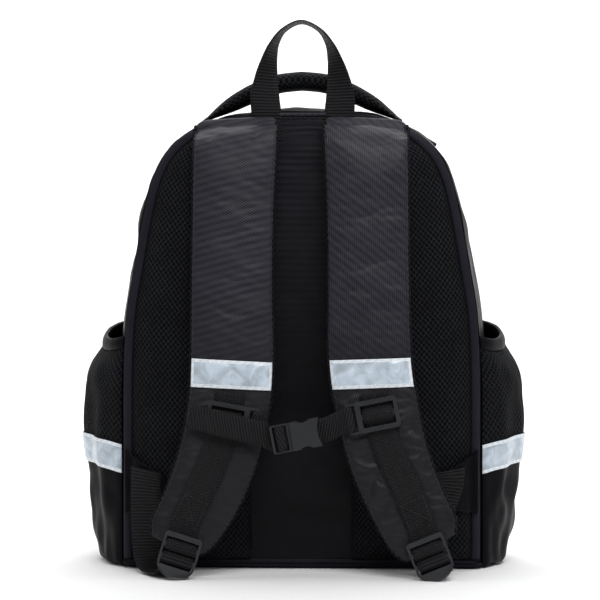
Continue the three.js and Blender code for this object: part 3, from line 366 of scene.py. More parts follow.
def strap_frame(side_name, t):
    """Centre, tangent, direction across and normal of a shoulder strap."""
    t = np.asarray(t, float)
    sign = -1 if side_name == "left" else 1
    reach = 0 if side_name == "left" else 1

    def centre(s):
        row = catmull(STRAP, s)
        return np.stack([sign * row[..., reach], -row[..., STRAP_OUT], row[..., STRAP_HEIGHT]], -1)

    tangent = unit(centre(np.minimum(t + 0.004, 1)) - centre(np.maximum(t - 0.004, 0)))
    slope = np.radians(-sign * strap_column(STRAP_SLOPE, t))
    across = np.stack([np.cos(slope), np.zeros_like(slope), np.sin(slope)], -1)
    across = unit(across - tangent * (across * tangent).sum(-1, keepdims=True))
    normal = np.cross(across, tangent)
    normal *= np.where(normal[..., 1:2] > 0, -1, 1)
    return centre(t), tangent, across, normal


def strap_point(side_name, t, w, lift, face=1):
    """Point on a strap's face: w runs from -1 to 1 across it."""
    centre, _, across, normal = strap_frame(side_name, t)
    thickness = strap_column(STRAP_THICKNESS, t)
    edge = np.minimum(STRAP_EDGE, thickness) / 2
    half = edge + (thickness / 2 - edge) * (1 - w**4)
    point = centre + across * (w * strap_width(side_name, t) / 2)[..., None]
    return point + normal * (face * (half + lift))[..., None]


def pocket_point(side, share, height):
    """Point on a side pocket: share runs round it from the back seam to the front one."""
    u = np.clip(share, 0, 1)
    w = (1 - np.cos(math.pi * u)) / 2
    base = body_side(height, lerp(POCKET_FROM, POCKET_TO, w))
    dense = catmull(POCKET, np.linspace(0, 1, 801))
    out = np.interp(height, dense[:, 0], dense[:, 1])
    belly = np.sin(math.pi * w) ** POCKET_FULLNESS
    opened = smooth(height, *POCKET_PLEATS_OPEN) * (1 - smooth(height, *POCKET_PLEATS_CLOSE))
    fold = POCKET_PLEAT_DEPTH * opened * belly * np.cos(2 * math.pi * POCKET_PLEATS * u)
    near_top = smooth(height, *POCKET_TOP_LEAN)
    slant = belly * (POCKET_SLANT * smooth(height, *POCKET_LEAN) - POCKET_DROP * near_top)
    slant = slant - POCKET_DIP * (1 - smooth(w, 0, 0.9)) * near_top
    reach = base[..., 0] + POCKET_STAND + belly * out + fold
    return np.stack([side * reach, base[..., 1], height + slant], -1)


def lock_frame(side_name):
    x, z, turn = LOCK_PLACE[side_name]
    angle = math.radians(turn)
    along = np.array([math.sin(angle), 0, -math.cos(angle)])
    across = np.array([math.cos(angle), 0, math.sin(angle)])
    return np.array([x, LOCK_LEVEL, z]), along, across


def slider_frame(side_name):
    t = strap_share(SLIDER_HEIGHT[side_name])
    _, tangent, across, normal = strap_frame(side_name, t)
    lift = TAPE_LIFT + WEBBING_THICKNESS + GAP + SLIDER_THICKNESS / 2
    return strap_point(side_name, t, 0, lift), across, -tangent, normal


OUTWARDS = np.array([0, -1, 0])
TILT = math.radians(BUCKLE["tilt"])
BUCKLE_X = np.array([math.cos(TILT), 0, math.sin(TILT)])
BUCKLE_Y = np.array([-math.sin(TILT), 0, math.cos(TILT)])


def buckle_at(along, rise):
    return np.array([BUCKLE["x"], BUCKLE["y"], BUCKLE["z"]]) + BUCKLE_X * along + OUTWARDS * rise


# Meshes

def normals_of(grid, outwards):
    """Unit normals of a grid of points, on the side that outwards points to."""
    n = unit(np.cross(np.gradient(grid, axis=0), np.gradient(grid, axis=1)))
    return n * np.sign((n * outwards).sum(-1, keepdims=True) + 1e-12)


def add_piece(name, points, faces, uv, finishes, stands_for=(), face_finish=None):
    """New piece from points in millimetres, with texture coordinates in metres for each point."""
    mesh = bpy.data.meshes.new(name)
    world = (np.asarray(points, float).reshape(-1, 3) + (0, PANEL, 0)) * MM
    mesh.from_pydata(world.tolist(), [], [list(map(int, f)) for f in faces])
    for finish in finishes:
        mesh.materials.append(finish)
    if face_finish is not None:
        mesh.polygons.foreach_set("material_index", np.asarray(face_finish, np.int32))
    corner = np.empty(len(mesh.loops), np.int32)
    mesh.loops.foreach_get("vertex_index", corner)
    layer = mesh.uv_layers.new(name="cloth")
    layer.data.foreach_set("uv", (np.asarray(uv, float).reshape(-1, 2)[corner] * MM).ravel())
    mesh.polygons.foreach_set("use_smooth", np.ones(len(mesh.polygons), bool))
    made = bmesh.new()
    made.from_mesh(mesh)
    bmesh.ops.recalc_face_normals(made, faces=made.faces)
    made.to_mesh(mesh)
    made.free()
    piece = bpy.data.objects.new(name, mesh)
    bpy.context.scene.collection.objects.link(piece)
    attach(piece, "root")
    if stands_for:
        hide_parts(*stands_for)
    return piece


def loft(name, front, back, finishes, stands_for=(), turn=0.0, column_finish=None, back_finish=0):
    """Closed piece between a front and a back grid of points that meet at their edges."""
    rows, columns = front.shape[:2]
    ring = 2 * columns
    points = np.concatenate([front, back[:, ::-1]], axis=1)
    along = np.concatenate([[0], np.cumsum(np.linalg.norm(np.diff(front, axis=0), axis=2).mean(1))])
    step = np.linalg.norm(np.diff(front, axis=1), axis=2)
    across = np.concatenate([np.zeros((rows, 1)), np.cumsum(step, axis=1)], axis=1)
    across -= across[:, -1:] / 2
    u = np.repeat(along[:, None], ring, axis=1)
    v = np.concatenate([across, across[:, ::-1]], axis=1)
    c, s = math.cos(turn), math.sin(turn)
    uv = np.stack([c * u - s * v, s * u + c * v], -1)
    i, j = np.meshgrid(np.arange(rows - 1), np.arange(ring), indexing="ij")
    k = (j + 1) % ring
    faces = np.stack([i * ring + j, i * ring + k, (i + 1) * ring + k, (i + 1) * ring + j], -1).reshape(-1, 4)
    kind = np.where(j < columns - 1, 0, back_finish)
    if column_finish is not None:
        kind = np.where(j < columns - 1, column_finish[:, np.minimum(j[0], columns - 2)], kind)
    a = np.arange(columns - 1)
    cap = np.stack([a, a + 1, ring - 2 - a, ring - 1 - a], -1)
    last = (rows - 1) * ring
    faces = np.concatenate([faces, cap, cap + last])
    kinds = np.concatenate([kind.ravel(), np.zeros(2 * len(cap), int)])
    return add_piece(name, points, faces, uv, finishes, stands_for, kinds)


def tube(name, path, radius, guide, finishes, stands_for=(), half_sides=5):
    """Round cord of stitched binding, piping or coil along a path."""
    path = np.asarray(path, float)
    tangent = unit(np.gradient(path, axis=0))
    side = unit(np.cross(tangent, guide))
    up = np.cross(side, tangent)
    reach = np.broadcast_to(radius, len(path))[:, None, None]
    angle = np.linspace(0, math.pi, half_sides)[None, :, None]
    over = path[:, None] + reach * (np.cos(angle) * side[:, None] + np.sin(angle) * up[:, None])
    under = path[:, None] + reach * (np.cos(angle) * side[:, None] - np.sin(angle) * up[:, None])
    return loft(name, over, under, finishes, stands_for)


def stitches(name, paths, finish, length=2.6, spacing=4.0, thread=0.42):
    """Rows of sewing stitches along paths that each come with their surface normals."""
    profile = np.array([(-0.5, 0.3), (-0.3, 1), (0.3, 1), (0.5, 0.3)])
    rings, sides = len(profile), 6
    angle = np.arange(sides) * 2 * math.pi / sides
    ring = np.stack([np.cos(angle), np.sin(angle)], -1)
    all_points = []
    for path, normal in paths:
        run = lengths(path)
        at = np.arange(spacing / 2, run[-1], spacing)
        read = lambda values, s: np.stack([np.interp(s, run, values[:, k]) for k in range(3)], -1)
        middle, up = read(path, at), unit(read(np.broadcast_to(normal, path.shape), at))
        ahead = unit(read(path, at + 0.5) - read(path, at - 0.5))
        side = np.cross(ahead, up)
        body = middle[:, None, None] + ahead[:, None, None] * (profile[:, 0] * length)[None, :, None, None]
        around = ring[None, None, :, :1] * side[:, None, None] + ring[None, None, :, 1:] * up[:, None, None]
        sewn = body + around * (profile[:, 1] * thread)[None, :, None, None]
        all_points.append(sewn.reshape(-1, rings * sides, 3))
    points = np.concatenate(all_points)
    k = np.arange(sides)
    collar = np.stack([k, (k + 1) % sides, sides + (k + 1) % sides, sides + k], -1)
    ends = [list(k), list(k + sides * (rings - 1))]
    one = [list(f + sides * r) for r in range(rings - 1) for f in collar] + ends
    faces = [[rings * sides * n + v for v in f] for n in range(len(points)) for f in one]
    uv = points[..., [0, 2]]
    return add_piece(name, points, faces, uv, [finish])


def band(stations, width, thickness, steps=6, columns=7):
    """Front and back grids of webbing through stations that each give a point and the direction across."""
    points = np.array([p for p, _ in stations])
    acrosses = np.array([a for _, a in stations])
    line = threaded(points, steps)
    at = np.linspace(0, len(points) - 1, len(line))
    across = unit(np.stack([np.interp(at, np.arange(len(points)), acrosses[:, k]) for k in range(3)], -1))
    tangent = unit(np.gradient(line, axis=0))
    normal = unit(np.cross(tangent, across))
    w = np.linspace(-0.5, 0.5, columns)
    half = thickness / 2 * np.sqrt(np.maximum(1 - (2 * w) ** 8, 0.12))
    flat = line[:, None] + across[:, None] * (w * width)[None, :, None]
    rise = normal[:, None] * half[None, :, None]
    return flat + rise, flat - rise


def moulded(name, cad):
    """Plastic moulding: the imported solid's own faces with softened edges."""
    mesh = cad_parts[cad].data.copy()
    mesh.name = name
    mesh.materials.clear()
    mesh.materials.append(finish("acetal, moulded"))
    made = bmesh.new()
    made.from_mesh(mesh)
    bmesh.ops.remove_doubles(made, verts=made.verts, dist=1e-5)
    bmesh.ops.dissolve_limit(made, angle_limit=math.radians(2), verts=made.verts, edges=made.edges)
    made.normal_update()
    sharp = [e for e in made.edges if e.is_manifold and e.calc_face_angle(0) > math.radians(28)]
    bmesh.ops.bevel(
        made, geom=sharp, offset=MOULD_EDGE * MM, segments=3, profile=0.6, affect="EDGES", clamp_overlap=True,
    )
    bmesh.ops.triangulate(made, faces=[f for f in made.faces if len(f.verts) > 4])
    made.to_mesh(mesh)
    made.free()
    mesh.polygons.foreach_set("use_smooth", np.ones(len(mesh.polygons), bool))
    piece = bpy.data.objects.new(name, mesh)
    bpy.context.scene.collection.objects.link(piece)
    piece.modifiers.new("even shading", "WEIGHTED_NORMAL").keep_sharp = True
    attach(piece, "root")
    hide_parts(cad)


def settle(piece, sewn, slack, spare, pressure, most):
    """Lets a padded cover swell as cloth and keeps the shape that it settles in.

    sewn and slack give each point of the piece a share of hold and of the spare cloth, and most caps how far
    it moves.
    """
    scene = bpy.context.scene
    mesh = piece.data
    start = np.empty(3 * len(mesh.vertices))
    mesh.vertices.foreach_get("co", start)
    for name, shares in (("sewn", sewn), ("firm", 1 - np.asarray(slack))):
        group = piece.vertex_groups.new(name=name)
        for step in range(11):
            members = np.flatnonzero(np.round(np.ravel(shares) * 10) == step)
            if step and len(members):
                group.add(members.tolist(), step / 10, "REPLACE")
    cloth = piece.modifiers.new("settling cloth", "CLOTH")
    cloth.collision_settings.use_collision = False
    settings = cloth.settings
    settings.quality = CLOTH_QUALITY
    settings.mass = CLOTH_MASS
    settings.tension_stiffness = settings.compression_stiffness = CLOTH_STRETCH
    settings.shear_stiffness = CLOTH_SHEAR
    settings.air_damping = CLOTH_AIR
    settings.bending_stiffness = CLOTH_BENDING
    settings.use_pressure = True
    settings.uniform_pressure_force = pressure
    settings.vertex_group_mass = "sewn"
    settings.vertex_group_shrink = "firm"
    settings.shrink_max, settings.shrink_min = 0, -spare
    settings.effector_weights.gravity = 0
    for frame_number in range(1, CLOTH_FRAMES + 1):
        scene.frame_set(frame_number)
    settled = piece.evaluated_get(bpy.context.evaluated_depsgraph_get()).to_mesh()
    end = np.empty_like(start)
    settled.vertices.foreach_get("co", end)
    piece.modifiers.remove(cloth)
    piece.vertex_groups.clear()
    move = (end - start).reshape(-1, 3)
    far = np.linalg.norm(move, axis=1, keepdims=True)
    move *= np.minimum(1, most * MM / np.maximum(far, 1e-9))
    mesh.vertices.foreach_set("co", (start.reshape(-1, 3) + move).ravel())
    mesh.update()
    scene.frame_set(1)


# Materials

def linear(code):
    """Linear colour of an sRGB hex value."""
    parts = [int(code[i : i + 2], 16) / 255 for i in (1, 3, 5)]
    return tuple(c / 12.92 if c <= 0.04045 else ((c + 0.055) / 1.055) ** 2.4 for c in parts)


def node(tree, kind, inputs=None, **settings):
    """Adds one shader node, sets it, and links or fills its inputs."""
    made = tree.nodes.new("ShaderNode" + kind)
    for key, value in settings.items():
        setattr(made, key, value)
    for key, value in (inputs or {}).items():
        if isinstance(value, bpy.types.NodeSocket):
            tree.links.new(value, made.inputs[key])
        else:
            made.inputs[key].default_value = value
    return made


def wave_scale(pitch):
    """Scale of a banded wave whose lines are a pitch in metres apart."""
    return 2 * math.pi / (20 * pitch)


def begin(name, roughness, ior=1.5, glint=0.5):
    """New material with its even values set, and its node tree."""
    made = bpy.data.materials.new(name)
    made.use_nodes = True
    shader = made.node_tree.nodes["Principled BSDF"]
    shader.inputs["Roughness"].default_value = roughness
    shader.inputs["IOR"].default_value = ior
    shader.inputs["Specular IOR Level"].default_value = glint
    return made, made.node_tree


def dress(made, sockets):
    """Gives the material's shader its patterned inputs."""
    tree = made.node_tree
    for name, socket in sockets.items():
        tree.links.new(socket, tree.nodes["Principled BSDF"].inputs[name])
    return made


def shade(colour, share):
    return (*(c * share for c in colour), 1)


def polyester_twill(name, colour, pitch, glint, banding_and_top_light_from, banding_and_top_light_to):
    # Calendered polyester twill: fine slanting ribs with a satin face, banded across where the weave lies
    # under tension. Between the two levels the bands and ribs grow stronger with height and the tone lightens
    # with them: partly the weave's own look, plainer lower down, and partly painted shade, darker towards the
    # bottom where less light falls from above.
    # Real ribs are 0.5 mm apart; they are drawn as coarse as the pitch needs to show.
    made, tree = begin(name, 0.5, glint=glint)
    uv = node(tree, "TexCoord").outputs["UV"]
    place = node(tree, "TexCoord").outputs["Object"]
    slant = node(tree, "Mapping", {"Vector": uv, "Rotation": (0, 0, math.radians(48))}).outputs[0]
    ribs = node(tree, "TexWave", {"Vector": slant, "Scale": wave_scale(pitch), "Distortion": 0.5,
                                  "Detail": 1}, bands_direction="X").outputs["Fac"]
    bands = node(tree, "TexWave", {"Vector": uv, "Scale": wave_scale(3.3 * pitch), "Distortion": 1.6,
                                   "Detail": 1, "Detail Scale": 0.35}, bands_direction="X").outputs["Fac"]
    drift = node(tree, "TexNoise", {"Vector": place, "Scale": 1 / 0.018, "Detail": 3}).outputs["Fac"]
    level = node(tree, "SeparateXYZ", {0: place}).outputs[2]
    # Painted top light: between the two levels the tone lightens with height, as if lit from above
    banding_and_top_light = node(tree, "MapRange", {"Value": level, "From Min": banding_and_top_light_from, "From Max": banding_and_top_light_to, "To Min": 0.04,
                                   "To Max": 0.44}).outputs[0]
    banded = node(tree, "Math", {0: bands, 1: banding_and_top_light}, operation="MULTIPLY").outputs[0]
    ribs_and_top_light = node(tree, "MapRange", {"Value": level, "From Min": banding_and_top_light_from, "From Max": banding_and_top_light_to,
                                    "To Min": 0.24, "To Max": 0.52}).outputs[0]
    woven = node(tree, "Math", {0: ribs, 1: ribs_and_top_light, 2: banded}, operation="MULTIPLY_ADD").outputs[0]
    tone = node(tree, "Math", {0: drift, 1: 0.25, 2: woven}, operation="MULTIPLY_ADD").outputs[0]
    colours = node(tree, "Mix", {0: tone, 6: shade(colour, 0.02), 7: shade(colour, 2.15)}, data_type="RGBA")
    gloss = node(tree, "MapRange", {"Value": drift, "To Min": 0.4, "To Max": 0.56}).outputs[0]
    creases = node(tree, "Bump", {"Height": drift, "Strength": 0.4, "Distance": 0.0012}).outputs[0]
    bump = node(tree, "Bump", {"Height": ribs, "Strength": 0.5, "Distance": 0.0002,
                               "Normal": creases}).outputs[0]
    return dress(made, {"Base Color": colours.outputs[2], "Roughness": gloss, "Normal": bump})


def polyester_plain(name, colour, pitch):
    # Plain-woven, coated polyester: a tight even grid of threads, smooth and slightly shiny over its folds.
    # Real threads are 0.35 mm apart; they are drawn as coarse as the pitch needs to show.
    made, tree = begin(name, 0.48, glint=0.06)
    uv = node(tree, "TexCoord").outputs["UV"]
    place = node(tree, "TexCoord").outputs["Object"]
    threads = {"Vector": uv, "Scale": wave_scale(pitch), "Distortion": 0.5}
    warp = node(tree, "TexWave", threads, bands_direction="X").outputs["Fac"]
    weft = node(tree, "TexWave", threads, bands_direction="Y").outputs["Fac"]
    weave = node(tree, "Math", {0: warp, 1: weft}, operation="MULTIPLY").outputs[0]
    drift = node(tree, "TexNoise", {"Vector": place, "Scale": 1 / 0.022, "Detail": 4}).outputs["Fac"]
    tone = node(tree, "Math", {0: weave, 1: 0.5, 2: drift}, operation="MULTIPLY_ADD").outputs[0]
    colours = node(tree, "Mix", {0: tone, 6: shade(colour, 0.6), 7: shade(colour, 1.35)}, data_type="RGBA")
    gloss = node(tree, "MapRange", {"Value": drift, "To Min": 0.36, "To Max": 0.52}).outputs[0]
    creases = node(tree, "Bump", {"Height": drift, "Strength": 0.5, "Distance": 0.0015}).outputs[0]
    bump = node(tree, "Bump", {"Height": weave, "Strength": 0.4, "Distance": 0.0002,
                               "Normal": creases}).outputs[0]
    return dress(made, {"Base Color": colours.outputs[2], "Roughness": gloss, "Normal": bump})


def spacer_mesh(name, colour, pitch):
    # Warp-knitted spacer fabric: staggered oval holes between soft matt threads, with painted shade in the
    # depth of each hole.
    made, tree = begin(name, 0.7, glint=0.1)
    uv = node(tree, "TexCoord").outputs["UV"]
    place = node(tree, "TexCoord").outputs["Object"]
    root = math.sqrt(2)
    stagger = node(tree, "Mapping", {"Vector": uv, "Rotation": (0, 0, math.radians(45)),
                                     "Scale": (root / (1.2 * pitch), root / pitch, 1)}).outputs[0]
    cell = node(tree, "TexVoronoi", {"Vector": stagger, "Scale": 1, "Randomness": 0.08},
                voronoi_dimensions="2D", feature="F1").outputs["Distance"]
    threads = node(tree, "MapRange", {"Value": cell, "From Min": 0.27, "From Max": 0.52},
                   interpolation_type="SMOOTHSTEP").outputs[0]
    drift = node(tree, "TexNoise", {"Vector": place, "Scale": 1 / 0.02, "Detail": 3}).outputs["Fac"]
    tone = node(tree, "MapRange", {"Value": drift, "From Min": 0.3, "From Max": 0.7, "To Min": 0.6})
    mask = node(tree, "Math", {0: threads, 1: tone.outputs[0]}, operation="MULTIPLY").outputs[0]
    # Painted shade: the holes go near black where the mesh's depth would hide the light
    colours = node(tree, "Mix", {0: mask, 6: shade(colour, 0.04), 7: shade(colour, 3.2)}, data_type="RGBA")
    bump = node(tree, "Bump", {"Height": threads, "Strength": 1, "Distance": 0.0012}).outputs[0]
    return dress(made, {"Base Color": colours.outputs[2], "Normal": bump})


def polypropylene_webbing(name, colour, pitch, slant, column):
    # Woven polypropylene webbing: close ribs across the band, run slantwise where it is twilled, and turned
    # from column to column where it is a herringbone weave.
    # Real ribs are 0.9 mm apart; they are drawn as coarse as the pitch needs to show.
    made, tree = begin(name, 0.6, glint=0.15)
    uv = node(tree, "TexCoord").outputs["UV"]
    parts = node(tree, "SeparateXYZ", {0: uv}).outputs
    inset = node(tree, "Math", {0: parts[1], 1: 0.03}, operation="ADD").outputs[0]
    zigzag = node(tree, "Math", {0: inset, 1: column}, operation="PINGPONG").outputs[0]
    lean = node(tree, "Math", {0: zigzag, 1: slant, 2: parts[0]}, operation="MULTIPLY_ADD").outputs[0]
    phase = node(tree, "Math", {0: lean, 1: 2 * math.pi / pitch}, operation="MULTIPLY").outputs[0]
    wave = node(tree, "Math", {0: phase}, operation="SINE").outputs[0]
    ribs = node(tree, "MapRange", {"Value": wave, "From Min": -1}, interpolation_type="SMOOTHSTEP").outputs[0]
    grain = node(tree, "TexNoise", {"Vector": uv, "Scale": 1 / 0.0011, "Detail": 2}).outputs["Fac"]
    tone = node(tree, "Math", {0: ribs, 1: 0.75, 2: grain}, operation="MULTIPLY_ADD").outputs[0]
    mask = node(tree, "MapRange", {"Value": tone, "From Min": 0.3, "From Max": 1.3}).outputs[0]
    colours = node(tree, "Mix", {0: mask, 6: shade(colour, 0.08), 7: shade(colour, 2.7)}, data_type="RGBA")
    bump = node(tree, "Bump", {"Height": tone, "Strength": 1, "Distance": 0.0009}).outputs[0]
    return dress(made, {"Base Color": colours.outputs[2], "Normal": bump})


def moulded_acetal(name, colour):
    # Injection-moulded acetal: dark grey, even, with a fine spark-eroded grain that spreads the highlights.
    made, tree = begin(name, 0.42, ior=1.48, glint=0.4)
    place = node(tree, "TexCoord").outputs["Object"]
    grain = node(tree, "TexNoise", {"Vector": place, "Scale": 1 / 0.0008, "Detail": 3}).outputs["Fac"]
    drift = node(tree, "TexNoise", {"Vector": place, "Scale": 1 / 0.012, "Detail": 2}).outputs["Fac"]
    colours = node(tree, "Mix", {0: drift, 6: shade(colour, 0.85), 7: shade(colour, 1.15)}, data_type="RGBA")
    gloss = node(tree, "MapRange", {"Value": drift, "To Min": 0.34, "To Max": 0.5}).outputs[0]
    bump = node(tree, "Bump", {"Height": grain, "Strength": 0.25, "Distance": 0.0001}).outputs[0]
    return dress(made, {"Base Color": colours.outputs[2], "Roughness": gloss, "Normal": bump})


def prismatic_film(name, colour):
    # Clear vinyl over a silvered prism layer: pale, blue-grey and glossy, with soft ripples where it is sewn
    # and painted highlights in its colour where they would catch the light.
    made, tree = begin(name, 0.24, ior=1.53)
    shader = tree.nodes["Principled BSDF"]
    shader.inputs["Coat Weight"].default_value = 0.4
    shader.inputs["Coat Roughness"].default_value = 0.12
    place = node(tree, "TexCoord").outputs["Object"]
    clouds = node(tree, "TexNoise", {"Vector": place, "Scale": 1 / 0.012, "Detail": 2,
                                     "Distortion": 0.9}).outputs["Fac"]
    # Painted highlights: lighter streaks in the colour where the ripples would catch the light
    painted_ripple_glints = node(tree, "MapRange", {"Value": clouds, "From Min": 0.32, "From Max": 0.72}).outputs[0]
    colours = node(tree, "Mix", {0: painted_ripple_glints, 6: shade(colour, 0.7), 7: shade(colour, 1.2)}, data_type="RGBA")
    bump = node(tree, "Bump", {"Height": clouds, "Strength": 0.6, "Distance": 0.0016}).outputs[0]
    return dress(made, {"Base Color": colours.outputs[2], "Normal": bump})


def vinyl_border(name, colour):
    # White vinyl hem of the reflective tape: brighter than the film, with small puckers from the needle.
    made, tree = begin(name, 0.4, ior=1.53)
    uv = node(tree, "TexCoord").outputs["UV"]
    pucker = node(tree, "TexWave", {"Vector": uv, "Scale": wave_scale(0.003), "Distortion": 1.2, "Detail": 1},
                  bands_direction="DIAGONAL").outputs["Fac"]
    colours = node(tree, "Mix", {0: pucker, 6: shade(colour, 0.9), 7: shade(colour, 1.04)}, data_type="RGBA")
    bump = node(tree, "Bump", {"Height": pucker, "Strength": 0.4, "Distance": 0.0003}).outputs[0]
    return dress(made, {"Base Color": colours.outputs[2], "Normal": bump})


def sewing_thread(name, colour):
    # Spun polyester thread: matt, with a fine twist that breaks its highlight.
    made, tree = begin(name, 0.6)
    place = node(tree, "TexCoord").outputs["Object"]
    twist = node(tree, "TexWave", {"Vector": place, "Scale": wave_scale(0.0009), "Distortion": 0.5},
                 bands_direction="DIAGONAL").outputs["Fac"]
    colours = node(tree, "Mix", {0: twist, 6: shade(colour, 0.7), 7: shade(colour, 1.3)}, data_type="RGBA")
    return dress(made, {"Base Color": colours.outputs[2]})


def seamless_paper(name, colour):
    # Matt white studio paper: pale, even and without gloss, with the faintest tooth.
    made, tree = begin(name, 0.9)
    place = node(tree, "TexCoord").outputs["Object"]
    tooth = node(tree, "TexNoise", {"Vector": place, "Scale": 1 / 0.004, "Detail": 2}).outputs["Fac"]
    colours = node(tree, "Mix", {0: tooth, 6: shade(colour, 0.985), 7: shade(colour, 1.0)}, data_type="RGBA")
    return dress(made, {"Base Color": colours.outputs[2]})


def colour_property(label, what, code):
    return FloatVectorProperty(name=label, description=what, subtype="COLOR", size=3, min=0, max=1,
                               default=linear(code))


def pitch_property(label, what, millimetres):
    return FloatProperty(name=label, description=what, unit="LENGTH", min=0.0002, max=0.02,
                         default=millimetres * MM)


def power_property(label, what, watts):
    return FloatProperty(name=label, description=what, unit="POWER", min=0, default=watts)


class BackpackFinish(bpy.types.PropertyGroup):
    """Colours and pattern sizes of the backpack."""

    cloth: colour_property("Strap cloth", "Twill of the straps", "#1f1e25")
    body: colour_property("Body cloth", "Coated cloth of the body and pockets", "#0a0a0e")
    # Painted shade: the channel twill is the strap twill made darker for the recess between the straps
    channel: colour_property("Channel cloth", "Twill between the back pads", "#141419")
    mesh: colour_property("Spacer mesh", "Knitted mesh of the pads, handle and pocket nets", "#0f1013")
    webbing: colour_property("Webbing", "Woven webbing of the loop and straps", "#141416")
    plastic: colour_property("Plastic", "Locks, sliders and buckle", "#242529")
    film: colour_property("Reflective film", "Film of the reflective bands", "#c4d1dd")
    border: colour_property("Film border", "Sewn edge of the reflective bands", "#e6ecf2")
    thread: colour_property("Thread", "Sewing thread", "#101013")
    twill_pitch: pitch_property("Twill spacing", "Distance between the ribs of the twill", 1.7)
    plain_pitch: pitch_property("Weave spacing", "Distance between the threads of the plain cloth", 1.2)
    mesh_pitch: pitch_property("Mesh spacing", "Distance between the holes of the spacer mesh", 4.2)
    net_pitch: pitch_property("Net spacing", "Distance between the holes of the pocket nets", 4.8)
    rib_pitch: pitch_property("Rib spacing", "Distance between the ribs of the grab loop", 2.6)
    herringbone_pitch: pitch_property("Herringbone spacing", "Distance between the strap webbing's ribs", 2.4)


class BackpackStudio(bpy.types.PropertyGroup):
    """Camera and light of the studio."""

    distance: FloatProperty(name="Camera distance", description="From the camera to the back panel",
                            unit="LENGTH", default=1.6)
    turn: FloatProperty(name="Camera turn", description="How far round the camera stands", subtype="ANGLE",
                        default=math.radians(1.8))
    eye_height: FloatProperty(name="Camera height", description="Height of the lens", unit="LENGTH",
                              default=0.224)
    lens: FloatProperty(name="Lens", description="Focal length on a 36 mm sensor", unit="CAMERA",
                        default=115.2)
    key: power_property("Key light", "Power of the gridded light above the camera", 1.9)
    overhead: power_property("Overhead light", "Power of the large light over the bag and floor", 52)
    backdrop: power_property("Backdrop light", "Power of the light on the paper behind", 62)
    side: power_property("Side lights", "Power of each light at the sides", 1.5)
    sky: FloatProperty(name="Fill", description="Strength of the even light from all round", default=0.22)


class BackpackSettings(bpy.types.PropertyGroup):
    """Everything about the backpack that a user may change."""

    finish: PointerProperty(type=BackpackFinish)
    studio: PointerProperty(type=BackpackStudio)


# Each material's maker, colour and pattern spacing; then for twill its glint and the levels in metres between
# which its bands and its painted top light grow, darker below and lighter above, and for webbing the slope of
# its ribs and the width of its columns in metres
MATERIALS = {
    "polyester twill, calendered": (polyester_twill, "cloth", "twill_pitch", 0.26, 0.12, 0.24),
    # Channel twill: painted shade in its darker colour and in levels set higher, so it stays dark lower down
    # between the straps
    "polyester twill, channel": (polyester_twill, "channel", "twill_pitch", 0.13, 0.17, 0.33),
    "polyester plain weave, coated": (polyester_plain, "body", "plain_pitch"),
    "polyester plain weave, binding": (polyester_plain, "cloth", "plain_pitch"),
    "spacer mesh, knitted": (spacer_mesh, "mesh", "mesh_pitch"),
    "pocket net, knitted": (spacer_mesh, "mesh", "net_pitch"),
    "webbing, ribbed": (polypropylene_webbing, "webbing", "rib_pitch", 0.0, 0.1),
    "webbing, herringbone": (polypropylene_webbing, "webbing", "herringbone_pitch", 0.9, 0.004),
    "webbing, twilled left": (polypropylene_webbing, "webbing", "herringbone_pitch", -0.4, 0.1),
    "webbing, twilled right": (polypropylene_webbing, "webbing", "herringbone_pitch", 0.4, 0.1),
    "acetal, moulded": (moulded_acetal, "plastic"),
    "prismatic film": (prismatic_film, "film"),
    "vinyl border, sewn": (vinyl_border, "border"),
    "polyester thread, dark": (sewing_thread, "thread"),
    "polyester thread, white": (sewing_thread, "border"),
}


def finish(name):
    """A material by its name, made the first time it is asked for."""
    found = bpy.data.materials.get(name)
    if found:
        return found
    make, *details = MATERIALS[name]
    settings = bpy.context.scene.backpack.finish
    return make(name, *(getattr(settings, d) if isinstance(d, str) else d for d in details))


def grid(rows, columns):
    """Shares along and across a grid."""
    return np.meshgrid(np.linspace(0, 1, rows), np.linspace(0, 1, columns), indexing="ij")


